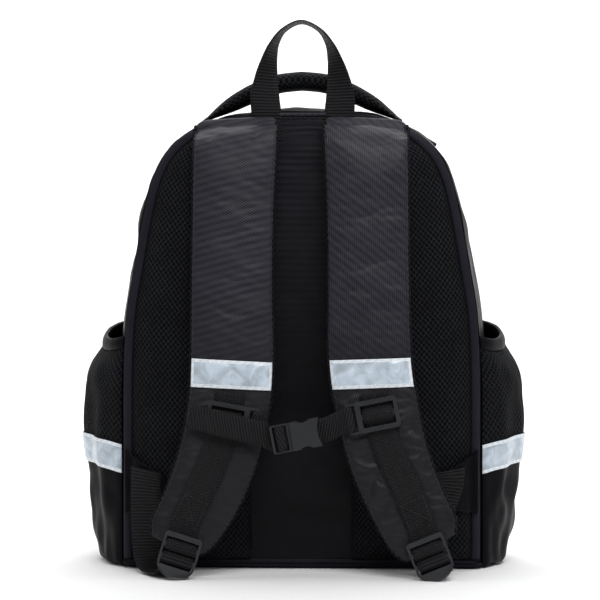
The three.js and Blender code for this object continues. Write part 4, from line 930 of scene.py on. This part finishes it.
class BACKPACK_OT_body(bpy.types.Operator):
    """Back panel, gussets, zip, front panel and base"""

    bl_idname = "backpack.body"
    bl_label = "Body"

    def execute(self, context):
        self.back_panel()
        start = (PANEL_THICKNESS + GAP) / DEPTH_TOP
        slit = GAP / DEPTH_TOP
        self.gusset("gusset_rear", start, ZIP_FROM - slit, 1, 16)
        self.gusset("gusset_front", ZIP_TO + slit, 1, 2, 26)
        self.zip()
        self.front_panel()
        self.base()
        return {"FINISHED"}

    def back_panel(self):
        v, u = grid(200, 61)
        z = lerp(FOOT, HEIGHT - 0.05, np.sin(v * math.pi / 2))
        half = arch(arch_share(z))[..., 0]
        x = (2 * u - 1) * half
        middle = np.clip(1 - (x / PAD_INNER) ** 2, 0, 1)
        flat = np.stack([x, np.zeros_like(x), z], -1)
        ripples = np.sin(2 * math.pi * z / RIPPLE_PITCH + relief(flat, "channel sway") + RIPPLE_SLANT * x)
        ripples *= smooth(z, *RIPPLE_LEVELS)
        out = middle**0.5 * (RIPPLE_DEPTH * ripples + relief(flat, "channel") + CHANNEL_CROWN)
        front = flat + np.stack([0 * x, -out, 0 * x], -1)
        back = flat + (0, PANEL_THICKNESS, 0)
        # The channel cloth carries painted shade of the recess between the straps
        loft("back_panel_cloth", front, back, [finish("polyester twill, channel")], ["back_panel"])
        x = np.linspace(PANEL_BINDING_FROM, PANEL_BINDING_TO, 41)
        line = np.stack([x, 0 * x - PANEL_BINDING_OUT, 0 * x + PANEL_BINDING_LEVEL], -1)
        tube("panel_binding", line, PANEL_BINDING, OUTWARDS, [finish("polyester twill, calendered")])
        seam = line - (0, PANEL_SEAM_OUT, PANEL_SEAM_BELOW)
        stitches("panel_stitching", [(seam, OUTWARDS)], finish("polyester thread, dark"))

    def gusset(self, cad, start, stop, crowding, columns):
        share, v = grid(200, columns)
        outer = body_point(share, lerp(stop, start, (1 - v) ** crowding))
        normal = normals_of(outer, outer - BODY_MIDDLE)
        calm = np.sin(math.pi * v) ** 0.5
        loose = lerp(*GUSSET_LOOSE, smooth(outer[..., 2], POCKET_TOP + 6, POCKET_TOP + 60))
        folds = loose * (relief(outer, cad) + relief(outer, f"{cad} creases"))
        outer = outer + normal * (calm * folds)[..., None]
        inner = outer - normal * CLOTH
        piece = loft(f"{cad}_cloth", outer, inner, [finish("polyester plain weave, coated")], [cad])

    def zip(self):
        share, v = grid(200, 9)
        outer = body_point(share, lerp(ZIP_FROM, ZIP_TO, v))
        inner = outer - normals_of(outer, outer - BODY_MIDDLE) * ZIP_THICKNESS
        piece = loft("zip_tape", outer, inner, [finish("webbing, ribbed")], ["main_zip"])
        share = np.linspace(0.004, 0.996, 600)
        line = evenly(body_point(share, np.full_like(share, (ZIP_FROM + ZIP_TO) / 2)), COIL_STEP)
        radius = np.where(np.arange(len(line)) % 2, COIL_TOOTH, COIL_WAIST)
        tube("zip_coil", line, radius, -OUTWARDS, [finish("polyester thread, dark")])

    def front_panel(self):
        v, u = grid(110, 84)
        edge = lambda s: body_point(s, np.ones_like(s))
        bottom = lambda s: edge(np.zeros(1)) * (1 - s[..., None]) + edge(np.ones(1)) * s[..., None]
        top = lambda s: edge(lerp(FRONT_CORNER, 1 - FRONT_CORNER, s))
        left, right = lambda s: edge(FRONT_CORNER * s), lambda s: edge(1 - FRONT_CORNER * s)
        surface = patch(bottom, top, left, right, u, v)
        dome = FRONT_DOME * np.sqrt(np.maximum(16 * u * (1 - u) * v * (1 - v), 0))
        calm = np.clip(dome / 4, 0, 1)
        folds = relief(surface, "front panel") + relief(surface, "front panel creases")
        inner = surface + np.stack([0 * u, 2 * GAP + dome + calm * folds, 0 * u], -1)
        outer = inner + (0, CLOTH, 0)
        piece = loft("front_panel_cloth", outer, inner, [finish("polyester plain weave, coated")],
                     ["front_panel"])
        rim = np.linspace(0.002, 0.998, 320)
        line = evenly(body_point(rim, np.ones_like(rim)) + (0, FRONT_PIPING_BACK, 0), 3)
        tube("front_piping", line, PIPING, -OUTWARDS, [finish("webbing, ribbed")])

    def base(self):
        back = 1 - np.linspace(1, 0, 40) ** 2
        reach = OUTLINE[-1, 0] - body_inset(0 * back, back)
        w = np.linspace(-1, 1, 31)
        x = reach[:, None] * w[None]
        y = np.broadcast_to((back * (DEPTH_BASE + CLOTH))[:, None], x.shape)
        soft = np.minimum.reduce([(1 - np.abs(w))[None] * reach[:, None], y + 0.01, DEPTH_BASE + CLOTH - y])
        round_off = BASE_ROUND * (1 - ease(np.clip(soft, 0, BASE_ROUND) / BASE_ROUND))
        lower = np.stack([x, y, round_off], -1)
        upper = np.stack([x, y, BASE_THICKNESS - 0.4 * round_off], -1)
        loft("base_cloth", upper, lower, [finish("polyester plain weave, binding")], ["base_panel"])
        x = np.linspace(-1, 1, 120) * (OUTLINE[-1, 0] - BASE_PIPING_SHORT)
        line = np.stack([x, 0 * x - BASE_PIPING_OUT, 0 * x + FOOT], -1)
        tube("base_piping", line, PIPING, OUTWARDS, [finish("polyester plain weave, binding")])


class BACKPACK_OT_back_pads(bpy.types.Operator):
    """Crowned mesh pads of the back and the binding along the side seams"""

    bl_idname = "backpack.back_pads"
    bl_label = "Back pads"

    def execute(self, context):
        for side_name, side in SIDES:
            self.pad(side_name, side)
            self.binding(side_name, side)
        return {"FINISHED"}

    def pad(self, side_name, side):
        v, u = grid(130, 36)
        top = arch_reach(PAD_TOP_REACH)
        foot = arch_share(PAD_FOOT)
        outer = lambda s: arch_point(lerp(foot, top, s), PAD_INSET, 0.0)
        top_inner = arch_point(arch_reach(PAD_INNER), PAD_INSET, 0.0)[2]
        inner = lambda s: np.stack([np.full_like(s, PAD_INNER), 0 * s, lerp(PAD_FOOT, top_inner, s)], -1)
        zero, one = np.zeros(1), np.ones(1)
        mix = lambda a, b: lambda s: a * (1 - s[..., None]) + b * s[..., None]
        flat = patch(mix(inner(zero), outer(zero)), mix(inner(one), outer(one)), inner, outer, u, v)
        width = np.linalg.norm(flat[:, -1] - flat[:, 0], axis=-1)[:, None]
        sides = ease(np.minimum(u, 1 - u) * width / PAD_ROUND)
        share = sides * ease(v * top_inner / PAD_ROUND) * ease((1 - v) * top_inner / PAD_ROUND_TOP)
        rise = lerp(PAD_EDGE, PAD_CROWN - PAD_SWELLING, share) + share * relief(flat, "pad", side)
        shift = np.array([side, 1, 1])
        front = (flat + np.stack([0 * u, -GAP - rise, 0 * u], -1)) * shift
        back = (flat + (0, -GAP, 0)) * shift
        piece = loft(f"pad_cover_{side_name}", front, back, [finish("spacer mesh, knitted")],
                     [f"back_pad_{side_name}"])
        sewn = np.minimum(np.minimum(u, 1 - u), np.minimum(v, 1 - v)) < 0.02
        slack = np.zeros((len(u), 2 * u.shape[1]))
        settle(piece, np.concatenate([sewn, np.ones_like(u)], axis=1), slack, 0, pressure=4, most=5)

    def binding(self, side_name, side):
        u, v = grid(120, 9)
        share = lerp(arch_share(PAD_FOOT), arch_reach(BINDING_TOP_REACH), u)
        swell_out = BINDING_RISE * lerp(BINDING_EDGE, 1, np.sin(BINDING_TURN * math.pi * v))
        inset = lerp(GAP, PAD_INSET - 0.1, v)
        front = arch_point(share, inset, -GAP - swell_out) * (side, 1, 1)
        back = arch_point(share, inset, -GAP + 0 * v) * (side, 1, 1)
        loft(f"seam_binding_{side_name}", front, back, [finish("polyester plain weave, binding")],
             [f"edge_binding_{side_name}"])


class BACKPACK_OT_shoulder_straps(bpy.types.Operator):
    """Padded shoulder straps with their sewn edges and reflective bands"""

    bl_idname = "backpack.shoulder_straps"
    bl_label = "Shoulder straps"

    def execute(self, context):
        for side_name, side in SIDES:
            self.strap(side_name, side)
            self.edges(side_name)
            self.tape(side_name, side)
        return {"FINISHED"}

    def strap(self, side_name, side):
        share, v = grid(220, 35)
        w = 2 * v - 1
        fine = np.linspace(0, 1, 600)
        run = lengths(strap_point(side_name, fine, 0, 0))
        t = np.interp(share * run[-1], run, fine)
        below = np.interp(t, fine, run)
        front = strap_point(side_name, t, w, 0)
        height = front[..., 2]
        normal = normals_of(front, np.broadcast_to(OUTWARDS, front.shape))
        calm = np.clip((1 - np.abs(w)) * 4, 0, 1) * smooth(t, 0.02, 0.12) * (1 - smooth(t, 0.9, 1))
        folds = calm * (relief(front, "strap", side) + relief(front, "strap creases", side))
        folds -= STRAP_CREASE * np.exp(-(((below - STRAP_CREASE_BELOW) / STRAP_CREASE_WIDTH) ** 2))
        drop = STRAP_CORNER_DROP * np.abs(w) ** 10 * (1 - smooth(below, 0, STRAP_CORNER_LENGTH))
        corner = np.stack([0 * w, 0 * w, -drop], -1)
        front = front + normal * folds[..., None] + corner
        back = strap_point(side_name, t, w, 0, -1) + corner
        cloths = [finish("polyester twill, calendered"), finish("spacer mesh, knitted")]
        turn = math.radians(STRAP_TWILL_TURN[side_name])
        piece = loft(f"strap_cover_{side_name}", front, back, cloths,
                     [f"shoulder_strap_{side_name}"], turn=turn, back_finish=1)
        sewn = self.sewn(side_name, side, t, w, height)
        behind = np.maximum(sewn, BEHIND_HELD)
        spare = lerp(*SPARE_CLOTH[side_name], smooth(side * w, -0.2, 0.2))
        slack = lerp(spare, SPARE_ABOVE, smooth(height, *SPARE_LEVELS))
        settle(piece, np.concatenate([sewn, behind[:, ::-1]], axis=1),
               np.concatenate([slack, slack[:, ::-1]], axis=1), STRAP_SPARE, pressure=3, most=4)

    def sewn(self, side_name, side, t, w, height):
        """1 where a strap's face is held by a seam, the reflective band or the webbing, else 0."""
        run = np.array(STRAP_WEBBING_RUN)
        middle = side * np.interp(-height, -run[:, 0], run[:, 1]) * (height < STRAP_WEBBING_TOP)
        under = np.abs(w - middle) * strap_width(side_name, t) / 2 < WEBBING / 2 + 1
        taped = (t > strap_share(STRAP_TAPE_TOP + 2)) & (t < strap_share(STRAP_TAPE_FOOT - 2))
        ends = (t < 0.04) | (t > 0.97)
        return ((np.abs(w) > 0.93) | taped | ends | (under & (height < STRAP_WEBBING_TOP + 2))).astype(float)

    def edges(self, side_name):
        t = np.linspace(0.06, 0.995, 400)
        normal = strap_frame(side_name, t)[3]
        rows = []
        for edge, w in SIDES:
            line = evenly((strap_point(side_name, t, w, 0) + strap_point(side_name, t, w, 0, -1)) / 2, 2)
            beads = STRAP_EDGING + STRAP_EDGING_BEAD * np.sin(np.arange(len(line)) * STRAP_EDGING_TURN)
            tube(f"strap_edging_{side_name}_{edge}", line, beads, OUTWARDS,
                 [finish("spacer mesh, knitted")])
            rows.append((strap_point(side_name, t, STITCH_REACH * w, STITCH_LIFT), normal))
        stitches(f"strap_stitching_{side_name}", rows, finish("polyester thread, dark"))

    def tape_share(self, side_name, u, w):
        """Share along the strap of a point across and down its reflective band, which is cut straight."""
        fine = np.linspace(0.4, 0.75, 60)
        top, foot = TAPE_ENDS[side_name]
        height = lerp(lerp(*top, (w + 1) / 2), lerp(*foot, (w + 1) / 2), u)
        fall = strap_point(side_name, *np.broadcast_arrays(fine, w[..., None]), 0)[..., 2]
        found = np.empty_like(height)
        for place in np.ndindex(height.shape):
            found[place] = np.interp(-height[place], -fall[place], fine)
        return found

    def tape(self, side_name, side):
        u, v = grid(19, 33)
        u = np.interp(u, np.linspace(0, 1, 5), [0, TAPE_BORDER, 0.5, 1 - TAPE_BORDER, 1])
        w = TAPE_REACH * (2 * v - 1)
        t = self.tape_share(side_name, u, w)
        puff = relief(strap_point(side_name, t, w, 0), "band", side) + TAPE_PUFF
        puff *= np.clip(np.sin(math.pi * u) * 3 - 0.6, 0, 1)
        front = strap_point(side_name, t, w, TAPE_LIFT + TAPE_THICKNESS + np.maximum(puff, -TAPE_PUFF))
        down = (u[:-1, :-1] + u[1:, 1:]) / 2
        along = (v[:-1, :-1] + v[1:, 1:]) / 2
        border = np.minimum(down, 1 - down) < TAPE_BORDER
        border |= np.minimum(along, 1 - along) < TAPE_BORDER_ENDS
        loft(f"reflective_band_{side_name}", front, strap_point(side_name, t, w, TAPE_LIFT - 0.2),
             [finish("prismatic film"), finish("vinyl border, sewn")], [f"strap_tape_{side_name}"],
             column_finish=border.astype(int), back_finish=1)
        across = np.linspace(-STITCH_REACH, STITCH_REACH, 120)
        seams = []
        for share in (TAPE_SEAM * TAPE_BORDER, 1 - TAPE_SEAM * TAPE_BORDER):
            at = self.tape_share(side_name, np.full_like(across, share), across)
            line = strap_point(side_name, at, across, TAPE_LIFT + TAPE_THICKNESS + STITCH_LIFT)
            seams.append((line, strap_frame(side_name, at)[3]))
        stitches(f"reflective_band_stitching_{side_name}", seams, finish("polyester thread, white"))


class BACKPACK_OT_webbing(bpy.types.Operator):
    """Webbing of the shoulder straps, the side tabs and the chest strap"""

    bl_idname = "backpack.webbing"
    bl_label = "Webbing"

    def execute(self, context):
        for side_name, side in SIDES:
            self.strap_webbing(side_name, side)
            self.adjuster(side_name)
            self.side_tab(side_name, side)
        self.chest()
        return {"FINISHED"}

    def lay(self, name, stations, width, cad, weave="herringbone"):
        front, back = band(stations, width, WEBBING_THICKNESS)
        return loft(name, front, back, [finish(f"webbing, {weave}")], [cad])

    def strap_webbing(self, side_name, side):
        rest = TAPE_LIFT + WEBBING_THICKNESS / 2

        def on_strap(height, shift):
            t = strap_share(height)
            return strap_point(side_name, t, side * shift, rest), strap_frame(side_name, t)[2]

        origin, across, up, normal = slider_frame(side_name)
        lock, along, lock_across = lock_frame(side_name)
        stations = [on_strap(STRAP_WEBBING_TOP, 0)]
        stations += [(origin + up * a + normal * n, across) for a, n in SLIDER_THREAD]
        stations += [on_strap(*row) for row in STRAP_WEBBING_RUN]
        stations += [(lock + along * a + OUTWARDS * n, lock_across) for a, n in LOCK_THREAD_UPPER]
        self.lay(f"strap_ribbon_{side_name}", stations, WEBBING, f"strap_webbing_{side_name}")
        self.cross_box(side_name, side, lock[2] + BOX_TOP, lock[2] + BOX_FOOT, rest + BOX_LIFT)

    def cross_box(self, side_name, side, top, foot, lift):
        """Box of stitches with a cross in it, which holds the webbing's end to the strap."""
        reach = WEBBING / 2 - BOX_INSET
        corners = [(top, -reach), (top, reach), (foot, reach), (foot, -reach), (top, -reach), (foot, reach)]
        run = np.array(STRAP_WEBBING_RUN)
        rows = []
        for a, b in zip(corners + [(top, reach)], corners[1:] + [(foot, -reach)]):
            height, offset = np.linspace(a, b, 24).T
            t = strap_share(height)
            middle = side * np.interp(-height, -run[:, 0], run[:, 1])
            line = strap_point(side_name, t, middle + 2 * offset / strap_width(side_name, t), lift)
            rows.append((line, strap_frame(side_name, t)[3]))
        thread = finish("polyester thread, dark")
        stitches(f"ribbon_stitching_{side_name}", rows, thread, length=3, spacing=3.4, thread=0.35)

    def adjuster(self, side_name):
        lock, along, across = lock_frame(side_name)
        stations = [(lock + along * a + OUTWARDS * n, across) for a, n in LOCK_THREAD_LOWER]
        stations += [(row[:3], row[3:]) for row in ADJUSTER[side_name]]
        self.lay(f"adjuster_ribbon_{side_name}", stations, WEBBING, f"adjuster_webbing_{side_name}", "ribbed")

    def side_tab(self, side_name, side):
        u, v = grid(24, 20)
        reach = lerp(TAB["seam"], TAB["reach"], u)
        distance = OUTLINE[-1, 0] - GAP - PAD_INSET - reach
        rise = lerp(PAD_EDGE, PAD_CROWN, ease(distance / PAD_ROUND))
        face = np.where(distance < 0, -BINDING_RISE - 2 * GAP, -2 * GAP - rise) - TAB_LIFT
        top = lerp(TAB["top_seam"], TAB["top_inner"], u**0.8)
        z = lerp(lerp(TAB["foot_seam"], TAB["foot_inner"], u), top, v)
        fold = relief(np.stack([reach, 0 * u, z], -1), "side tab", side)
        front = np.stack([side * reach, face - CLOTH - np.maximum(fold, -TAB_LIFT), z], -1)
        back = np.stack([side * reach, face, z], -1)
        piece = loft(f"side_wing_{side_name}", front, back, [finish("polyester plain weave, coated")],
                     [f"side_tab_{side_name}"])

    def chest(self):
        for side_name, inner in (("left", 1), ("right", -1)):
            origin, across, up, normal = slider_frame(side_name)
            stations = [(origin + across * inner * a + normal * n, up) for a, n in RING_HOOK]
            thread = MALE_THREAD if side_name == "left" else FEMALE_THREAD
            stations += [(buckle_at(a, n), BUCKLE_Y) for a, n in thread]
            if side_name == "left":
                lean = math.radians(CHEST_TAIL_LEAN)
                stations += [(row, np.array([math.sin(lean), 0, math.cos(lean)])) for row in CHEST_TAIL]
            self.lay(f"chest_ribbon_{side_name}", stations, CHEST_WEBBING, f"chest_webbing_{side_name}",
                     f"twilled {side_name}")


class BACKPACK_OT_hardware(bpy.types.Operator):
    """Ladder locks, chest strap sliders, buckle and zip slider"""

    bl_idname = "backpack.hardware"
    bl_label = "Hardware"

    def execute(self, context):
        for kind in ("ladder_lock", "chest_slider"):
            for side_name, _ in SIDES:
                moulded(f"{kind}_moulding_{side_name}", f"{kind}_{side_name}")
        moulded("buckle_plug", "buckle_male")
        moulded("buckle_socket", "buckle_female")
        moulded("zip_pull", "zip_slider")
        return {"FINISHED"}


class BACKPACK_OT_handles(bpy.types.Operator):
    """Grab loop of webbing and padded carry handle"""

    bl_idname = "backpack.handles"
    bl_label = "Handles"

    def execute(self, context):
        self.loop()
        self.handle()
        return {"FINISHED"}

    def loop(self):
        half = []
        for reach, back, height, turn in LOOP:
            angle = math.radians(turn)
            half.append((np.array([-reach, back, height]), np.array([math.cos(angle), math.sin(angle), 0])))
        foot, top = LOOP[0, 2], LOOP[-1, 2]
        flare = lambda p: LOOP_FLARE * (top - p[2]) / (top - foot)
        other = [(p * (-1, 1, 1) + (flare(p), 0, 0), a * (-1, 1, 1)) for p, a in half[-2::-1]]
        front, back = band(half + other, WEBBING, LOOP_THICKNESS, 12, 9)
        loft("grab_loop_ribbon", front, back, [finish("webbing, ribbed")], ["grab_loop"])

    def handle(self):
        u, v = grid(141, 25)
        w = -np.cos(math.pi * v)

        def centre(s):
            row = catmull(HANDLE, 1 - np.abs(2 * np.clip(s, 0, 1) - 1))
            return np.stack([np.where(s < 0.5, -1, 1) * row[..., 0], 0 * s + HANDLE_BACK, row[..., 1]], -1)

        row = catmull(HANDLE, 1 - np.abs(2 * u - 1))
        thickness, flat = row[..., 2], row[..., 3]
        tangent = unit(centre(u + 0.01) - centre(u - 0.01))
        normal = np.stack([-tangent[..., 2], 0 * u, tangent[..., 0]], -1)
        half = thickness / 2 * np.maximum(1 - w**2, 0.004) ** 0.4
        middle = centre(u) + np.stack([0 * u, w * HANDLE_WIDTH / 2, flat * HANDLE_FOOT_LEAN * w], -1)
        rise = normal * half[..., None]
        piece = loft("carry_handle_cover", middle + rise, middle - rise, [finish("spacer mesh, knitted")],
                     ["carry_handle"])
        sewn = np.minimum(u, 1 - u) < 0.06
        slack = np.full((len(u), 2 * u.shape[1]), 0.5)
        settle(piece, np.concatenate([sewn, sewn], axis=1), slack, HANDLE_SPARE, pressure=2, most=1.2)


class BACKPACK_OT_side_pockets(bpy.types.Operator):
    """Side pockets: gathered cloth, reflective band, net and hem"""

    bl_idname = "backpack.side_pockets"
    bl_label = "Side pockets"

    def execute(self, context):
        plain, film = ["polyester plain weave, coated"], ["prismatic film", "vinyl border, sewn"]
        tape_foot, tape_lift = POCKET_SEAM - POCKET_TAPE / 2, TAPE_THICKNESS + GAP + 0.3
        for side in SIDES:
            cloth = self.part(*side, "cloth", POCKET_FOOT, POCKET_SEAM, 46, 0, POCKET_WALL, plain, "cloth")
            net = self.part(*side, "net", POCKET_SEAM + GAP, POCKET_RIM, 46, 0, POCKET_WALL,
                            ["pocket net, knitted"], "mesh")
            self.part(*side, "hem", POCKET_RIM + GAP, POCKET_TOP, 9, HEM_LIFT, HEM_THICKNESS,
                      plain, "webbing")
            self.part(*side, "tape", tape_foot, tape_foot + POCKET_TAPE, 19, tape_lift, TAPE_THICKNESS,
                      film, "tape")
        return {"FINISHED"}

    def part(self, side_name, side, kind, foot, top, rows, lift, thickness, finishes, slot):
        """One of a pocket's parts from its foot to its top, and the grid of its outer face."""
        v, u = grid(rows, 80)
        border = None
        if kind == "tape":
            v = np.interp(v, np.linspace(0, 1, 5), [0, TAPE_BORDER, 0.5, 1 - TAPE_BORDER, 1])
            middle = (v[:-1, :-1] + v[1:, 1:]) / 2
            border = (np.minimum(middle, 1 - middle) < TAPE_BORDER).astype(int)
        height = lerp(foot, top, v**1.6 if kind == "cloth" else v)
        surface = pocket_point(side, u, height)
        normal = normals_of(surface, np.broadcast_to((side, 0.0, 0.0), surface.shape))
        calm = np.sin(math.pi * u) ** 0.5
        held = smooth(height, *POCKET_TAPE_HOLD) * (1 - smooth(height, *POCKET_TAPE_RELEASE))
        loose = lerp(POCKET_LOOSE[kind], POCKET_LOOSE["tape"], held)
        out = lift + loose * calm * relief(surface, "pocket", side)
        roll = HEM_ROLL * np.sin(math.pi * v) if kind == "hem" else 0 * v
        front = surface + normal * (out + roll)[..., None]
        back = surface + normal * (out - roll - thickness)[..., None]
        piece = loft(f"pocket_{kind}_cover_{side_name}", front, back, [finish(f) for f in finishes],
                     [f"pocket_{kind}_{side_name}"], column_finish=border, back_finish=len(finishes) - 1)
        return piece, front


class BACKPACK_OT_stage(bpy.types.Operator):
    """Pale floor that curves up behind, soft lights and the camera"""

    bl_idname = "backpack.stage"
    bl_label = "Stage"

    def execute(self, context):
        studio = context.scene.backpack.studio
        self.sweep()
        self.camera(studio)
        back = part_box("back_panel")[0].y
        over = back + 1.1
        self.light("key", (0.2, back - 0.72, 1.0), (0, back, 0.3), (0.8, 0.35), studio.key, spread=90)
        self.light("overhead", (0, over, 2.3), (0, over, 0), (3.2, 2.6), studio.overhead)
        self.light("backdrop", (0, 1.3, 2.4), (0, 3.2, 0.5), (4.0, 1.0), studio.backdrop)
        for side_name, side in SIDES:
            self.light(side_name, (1.1 * side, back - 0.2, 0.8), (0, back, 0.25), (0.3, 0.6), studio.side)
        world = bpy.data.worlds.new("white studio")
        world.use_nodes = True
        fill = world.node_tree.nodes["Background"]
        fill.inputs["Color"].default_value = (1, 1, 1, 1)
        fill.inputs["Strength"].default_value = studio.sky
        context.scene.world = world
        context.scene.view_settings.view_transform = "Standard"
        return {"FINISHED"}

    def sweep(self):
        near, bend, radius, top, half_width = -6.0, 2.2, 1.0, 5.0, 8.0
        angle = np.linspace(0, math.pi / 2, 16)
        profile = [(near, 0.0), (bend, 0.0)]
        profile += [(bend + radius * math.sin(a), radius * (1 - math.cos(a))) for a in angle[1:]]
        profile += [(bend + radius, top)]
        points = [(x, y, z) for y, z in profile for x in (-half_width, half_width)]
        faces = [(2 * i, 2 * i + 1, 2 * i + 3, 2 * i + 2) for i in range(len(profile) - 1)]
        mesh = bpy.data.meshes.new("paper_sweep")
        mesh.from_pydata(points, [], faces)
        mesh.polygons.foreach_set("use_smooth", np.ones(len(mesh.polygons), bool))
        mesh.materials.append(seamless_paper("studio paper, matt white", linear("#ffffff")))
        sweep = bpy.data.objects.new("paper_sweep", mesh)
        bpy.context.scene.collection.objects.link(sweep)

    def camera(self, studio):
        data = bpy.data.cameras.new("wearer's side")
        data.sensor_fit = "HORIZONTAL"
        data.sensor_width = 36
        data.lens = studio.lens
        camera = bpy.data.objects.new("wearers_side", data)
        pivot = (PANEL + STRAP_PLANE) * MM
        reach = studio.distance + STRAP_PLANE * MM
        x, y = reach * math.sin(studio.turn), pivot - reach * math.cos(studio.turn)
        camera.location = (x, y, studio.eye_height)
        camera.rotation_euler = (math.pi / 2, 0, studio.turn)
        bpy.context.scene.collection.objects.link(camera)
        bpy.context.scene.camera = camera

    def light(self, name, place, aim, size, power, spread=180):
        """Soft light of a width and height in metres, aimed from its place at a point."""
        data = bpy.data.lights.new(name, "AREA")
        data.shape = "RECTANGLE"
        data.size, data.size_y = size
        data.energy = power
        data.spread = math.radians(spread)
        lamp = bpy.data.objects.new(f"{name}_softbox", data)
        lamp.location = place
        lamp.rotation_euler = (Vector(aim) - Vector(place)).to_track_quat("-Z", "Y").to_euler()
        bpy.context.scene.collection.objects.link(lamp)


STEPS = (
    BACKPACK_OT_stage, BACKPACK_OT_body, BACKPACK_OT_back_pads, BACKPACK_OT_shoulder_straps,
    BACKPACK_OT_webbing, BACKPACK_OT_hardware, BACKPACK_OT_handles, BACKPACK_OT_side_pockets,
)


class BACKPACK_PT_panel(bpy.types.Panel):
    """Finishes, studio and building steps of the backpack"""

    bl_label = "Backpack"
    bl_idname = "BACKPACK_PT_panel"
    bl_space_type = "VIEW_3D"
    bl_region_type = "UI"
    bl_category = "Backpack"

    def draw(self, context):
        settings = context.scene.backpack
        for group in (settings.finish, settings.studio):
            box = self.layout.box()
            for name in type(group).__annotations__:
                box.prop(group, name)
        for step in STEPS:
            self.layout.operator(step.bl_idname)


CLASSES = (BackpackFinish, BackpackStudio, BackpackSettings, *STEPS, BACKPACK_PT_panel)


def register():
    for cls in CLASSES:
        bpy.utils.register_class(cls)
    bpy.types.Scene.backpack = PointerProperty(type=BackpackSettings)


def unregister():
    del bpy.types.Scene.backpack
    for cls in reversed(CLASSES):
        bpy.utils.unregister_class(cls)


def main():
    register()
    bpy.ops.backpack.stage()
    bpy.ops.backpack.body()
    bpy.ops.backpack.back_pads()
    bpy.ops.backpack.shoulder_straps()
    bpy.ops.backpack.webbing()
    bpy.ops.backpack.hardware()
    bpy.ops.backpack.handles()
    bpy.ops.backpack.side_pockets()


if __name__ == "__main__":
    main()
